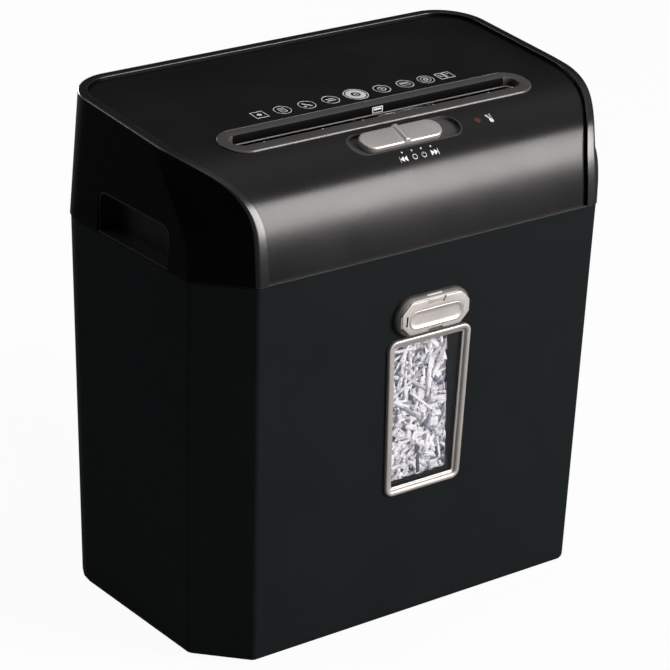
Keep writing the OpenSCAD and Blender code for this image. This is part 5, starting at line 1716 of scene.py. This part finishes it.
def on_flare(flat):
    """Flat (x, depth) points on the rear flare of the slot: v falls from 6.63 by 0.16 per mm of depth."""
    x, deep = np.asarray(flat, float).T
    v = MARK_V - MARK_FALL * deep
    sides = (np.column_stack([x, v - off, MARK_TOP - deep]) for off in (MARK_OUT, MARK_SUNK))
    return prism(*(stand(0, SLOT_Y, side) for side in sides))


def flare_box(x0, d0, x1, d1):
    """A filled box of ink on the flare."""
    return on_flare([(x0, d1), (x1, d1), (x1, d0), (x0, d0)])


# Painted highlights: pale ink dots on the tips of the feed ribs.
GLINT_X, GLINT_V, GLINT_TOP = (-91.8, -48.2, -17.6, 6.6, 37.4, 81.4, 101.0), -7.35, 0.95
marks += [flare_box(*b) for b in ((0.2, 0.5, 8.4, 1.0), (0.2, 3.9, 8.4, 4.3), (0.2, 1.02, 0.8, 3.88),
                                  (7.8, 1.02, 8.4, 3.88), (1.4, 1.5, 7.2, 2.6))]
for x in GLINT_X:
    tip = circle(x, GLINT_V, 0.42, n=12)
    marks.append(prism(*(stand(0, SLOT_Y, raise_to(tip, h)) for h in (GLINT_TOP - 0.1, GLINT_TOP))))
# The prints also carry the painted highlight dots.
prints_and_glints = make("panel_prints_and_glints", *join_grids(marks), "head", weld=0.0005, angle=30)
ink = finish("print ink and painted glints", (0.72, 0.75, 0.77), 0.5, grain=3000, bump=0.05, mottle=0.04, specular=0.3)
wear(prints_and_glints, ink)
print("prints:", len(prints_and_glints.data.polygons), "faces")

# %% [markdown]
# ## Background
# The camera sees plain white. Gloss needs something to mirror, so it sees another
# sky: bright near the horizon, dark above it, and a soft ceiling. The Light Path
# node tells the rays apart.

# %% World
HORIZON, BAND, BAND_TOP, CEILING, ZENITH = 0.55, 0.014, 0.024, 0.5, 0.45


def seen_plainly(tree):
    """The Light Path node, and a node that is 1 for rays from the camera or through clear plastic."""
    path, seen = add(tree, "LightPath"), add(tree, "Math")
    seen.operation = "MAXIMUM"
    wire(tree, (path, "Is Camera Ray", seen, 0), (path, "Is Transmission Ray", seen, 1))
    return path, seen


def glow_world():
    """White background for the camera, a ramp by height for gloss, and a calm grey for all other light.

    The ramp follows the height of the ray, which is z of its direction.
    """
    world = bpy.data.worlds.new("studio")
    bpy.context.scene.world = world
    world.use_nodes = True
    tree = world.node_tree
    tree.nodes.clear()
    place, split = add(tree, "TexCoord"), add(tree, "SeparateXYZ")
    levels = ((0.0, HORIZON), (0.12, HORIZON), (0.24, BAND), (0.56, BAND_TOP), (0.72, CEILING), (1.0, ZENITH))
    ramp = tone_ramp(tree, [(at, (level, level, level)) for at, level in levels])
    gloss = add(tree, "Background")
    white = add(tree, "Background", Color=(1, 1, 1, 1))
    calm = add(tree, "Background", Color=(0.93, 0.96, 1.0, 1), Strength=0.10)
    path, seen = seen_plainly(tree)
    first, second = add(tree, "MixShader"), add(tree, "MixShader")
    wire(tree, (place, "Generated", split, 0), (split, "Z", ramp, "Fac"), (ramp, "Color", gloss, "Color"),
         (path, "Is Glossy Ray", first, 0), (calm, 0, first, 1), (gloss, 0, first, 2),
         (seen, 0, second, 0), (first, 0, second, 1), (white, 0, second, 2),
         (second, 0, add(tree, "OutputWorld"), "Surface"))


glow_world()
print("world ready")

# %% [markdown]
# ## Lamps
# One large soft box at the front right gives the fall its long highlight. Three
# weaker ones, from the left rear, the rear and above, lift the edges.

# %% Lamps
def soft_box(name, place, target, size, power, colour=(1, 1, 1)):
    """A rectangular area lamp that faces a target."""
    data = bpy.data.lights.new(name, "AREA")
    data.shape, data.size, data.size_y = "RECTANGLE", size[0], size[1]
    data.energy, data.color = power, colour
    lamp = bpy.data.objects.new(name, data)
    lamp.location = place
    lamp.rotation_euler = (Vector(target) - Vector(place)).to_track_quat("-Z", "Y").to_euler()
    bpy.context.scene.collection.objects.link(lamp)
    return lamp


WARM, COOL = (1.0, 0.965, 0.95), (0.95, 0.98, 1.0)
lamps = [soft_box("front_right_box", (1.10, -1.58, 0.80), (0, -0.05, 0.28), (0.82, 1.22), 66.5, WARM),
         soft_box("left_rear_box", (-1.2, 1.5, 1.3), (0, 0, 0.2), (0.5, 0.5), 5, COOL),
         soft_box("rear_box", (0.05, 2.3, 0.35), (0, 0, 0.2), (0.8, 0.6), 32, COOL),
         soft_box("high_box", (0.2, 0.1, 2.4), (0, 0, 0.2), (1.2, 0.8), 6)]
print("lamps:", len(lamps))

# %% [markdown]
# ## Floor
# A pale floor catches a soft shadow. Most of what the camera sees of it is plain
# white, and gloss sees a calm dark floor, so the low walls stay black instead of
# mirroring the lit paper.

# %% Floor
FLOOR_HALF, WHITE_SHARE = 6, 0.95


def floor_finish():
    """Matt and near white. The camera sees 0.95 of plain white in it; gloss sees a dim glow instead."""
    mat = finish("floor paper", (0.8, 0.8, 0.8), 0.85, grain=900, mottle=0.01, specular=0.2, patch=2.0)
    tree = mat.node_tree
    white = add(tree, "Emission", Color=(1, 1, 1, 1), Strength=1.0)
    calm = add(tree, "Emission", Color=(0.95, 0.97, 1.0, 1), Strength=0.16)
    path, seen = seen_plainly(tree)
    share = add(tree, "Math")
    share.operation = "MULTIPLY"
    share.inputs[1].default_value = WHITE_SHARE
    mix, last = add(tree, "MixShader"), add(tree, "MixShader")
    wire(tree, (seen, 0, share, 0), (share, 0, mix, 0),
         (tree.nodes["Principled BSDF"], 0, mix, 1), (white, 0, mix, 2),
         (path, "Is Glossy Ray", last, 0), (mix, 0, last, 1), (calm, 0, last, 2),
         (last, 0, tree.nodes["Material Output"], "Surface"))
    return mat


floor_mesh = bpy.data.meshes.new("floor")
corners = [(x * FLOOR_HALF, y * FLOOR_HALF, 0) for x, y in ((-1, -1), (1, -1), (1, 1), (-1, 1))]
floor_mesh.from_pydata(corners, [], [(0, 1, 2, 3)])
floor = place_object("floor", floor_mesh, None)
wear(floor, floor_finish())
bpy.context.scene.view_settings.view_transform = "Standard"
print("studio ready")
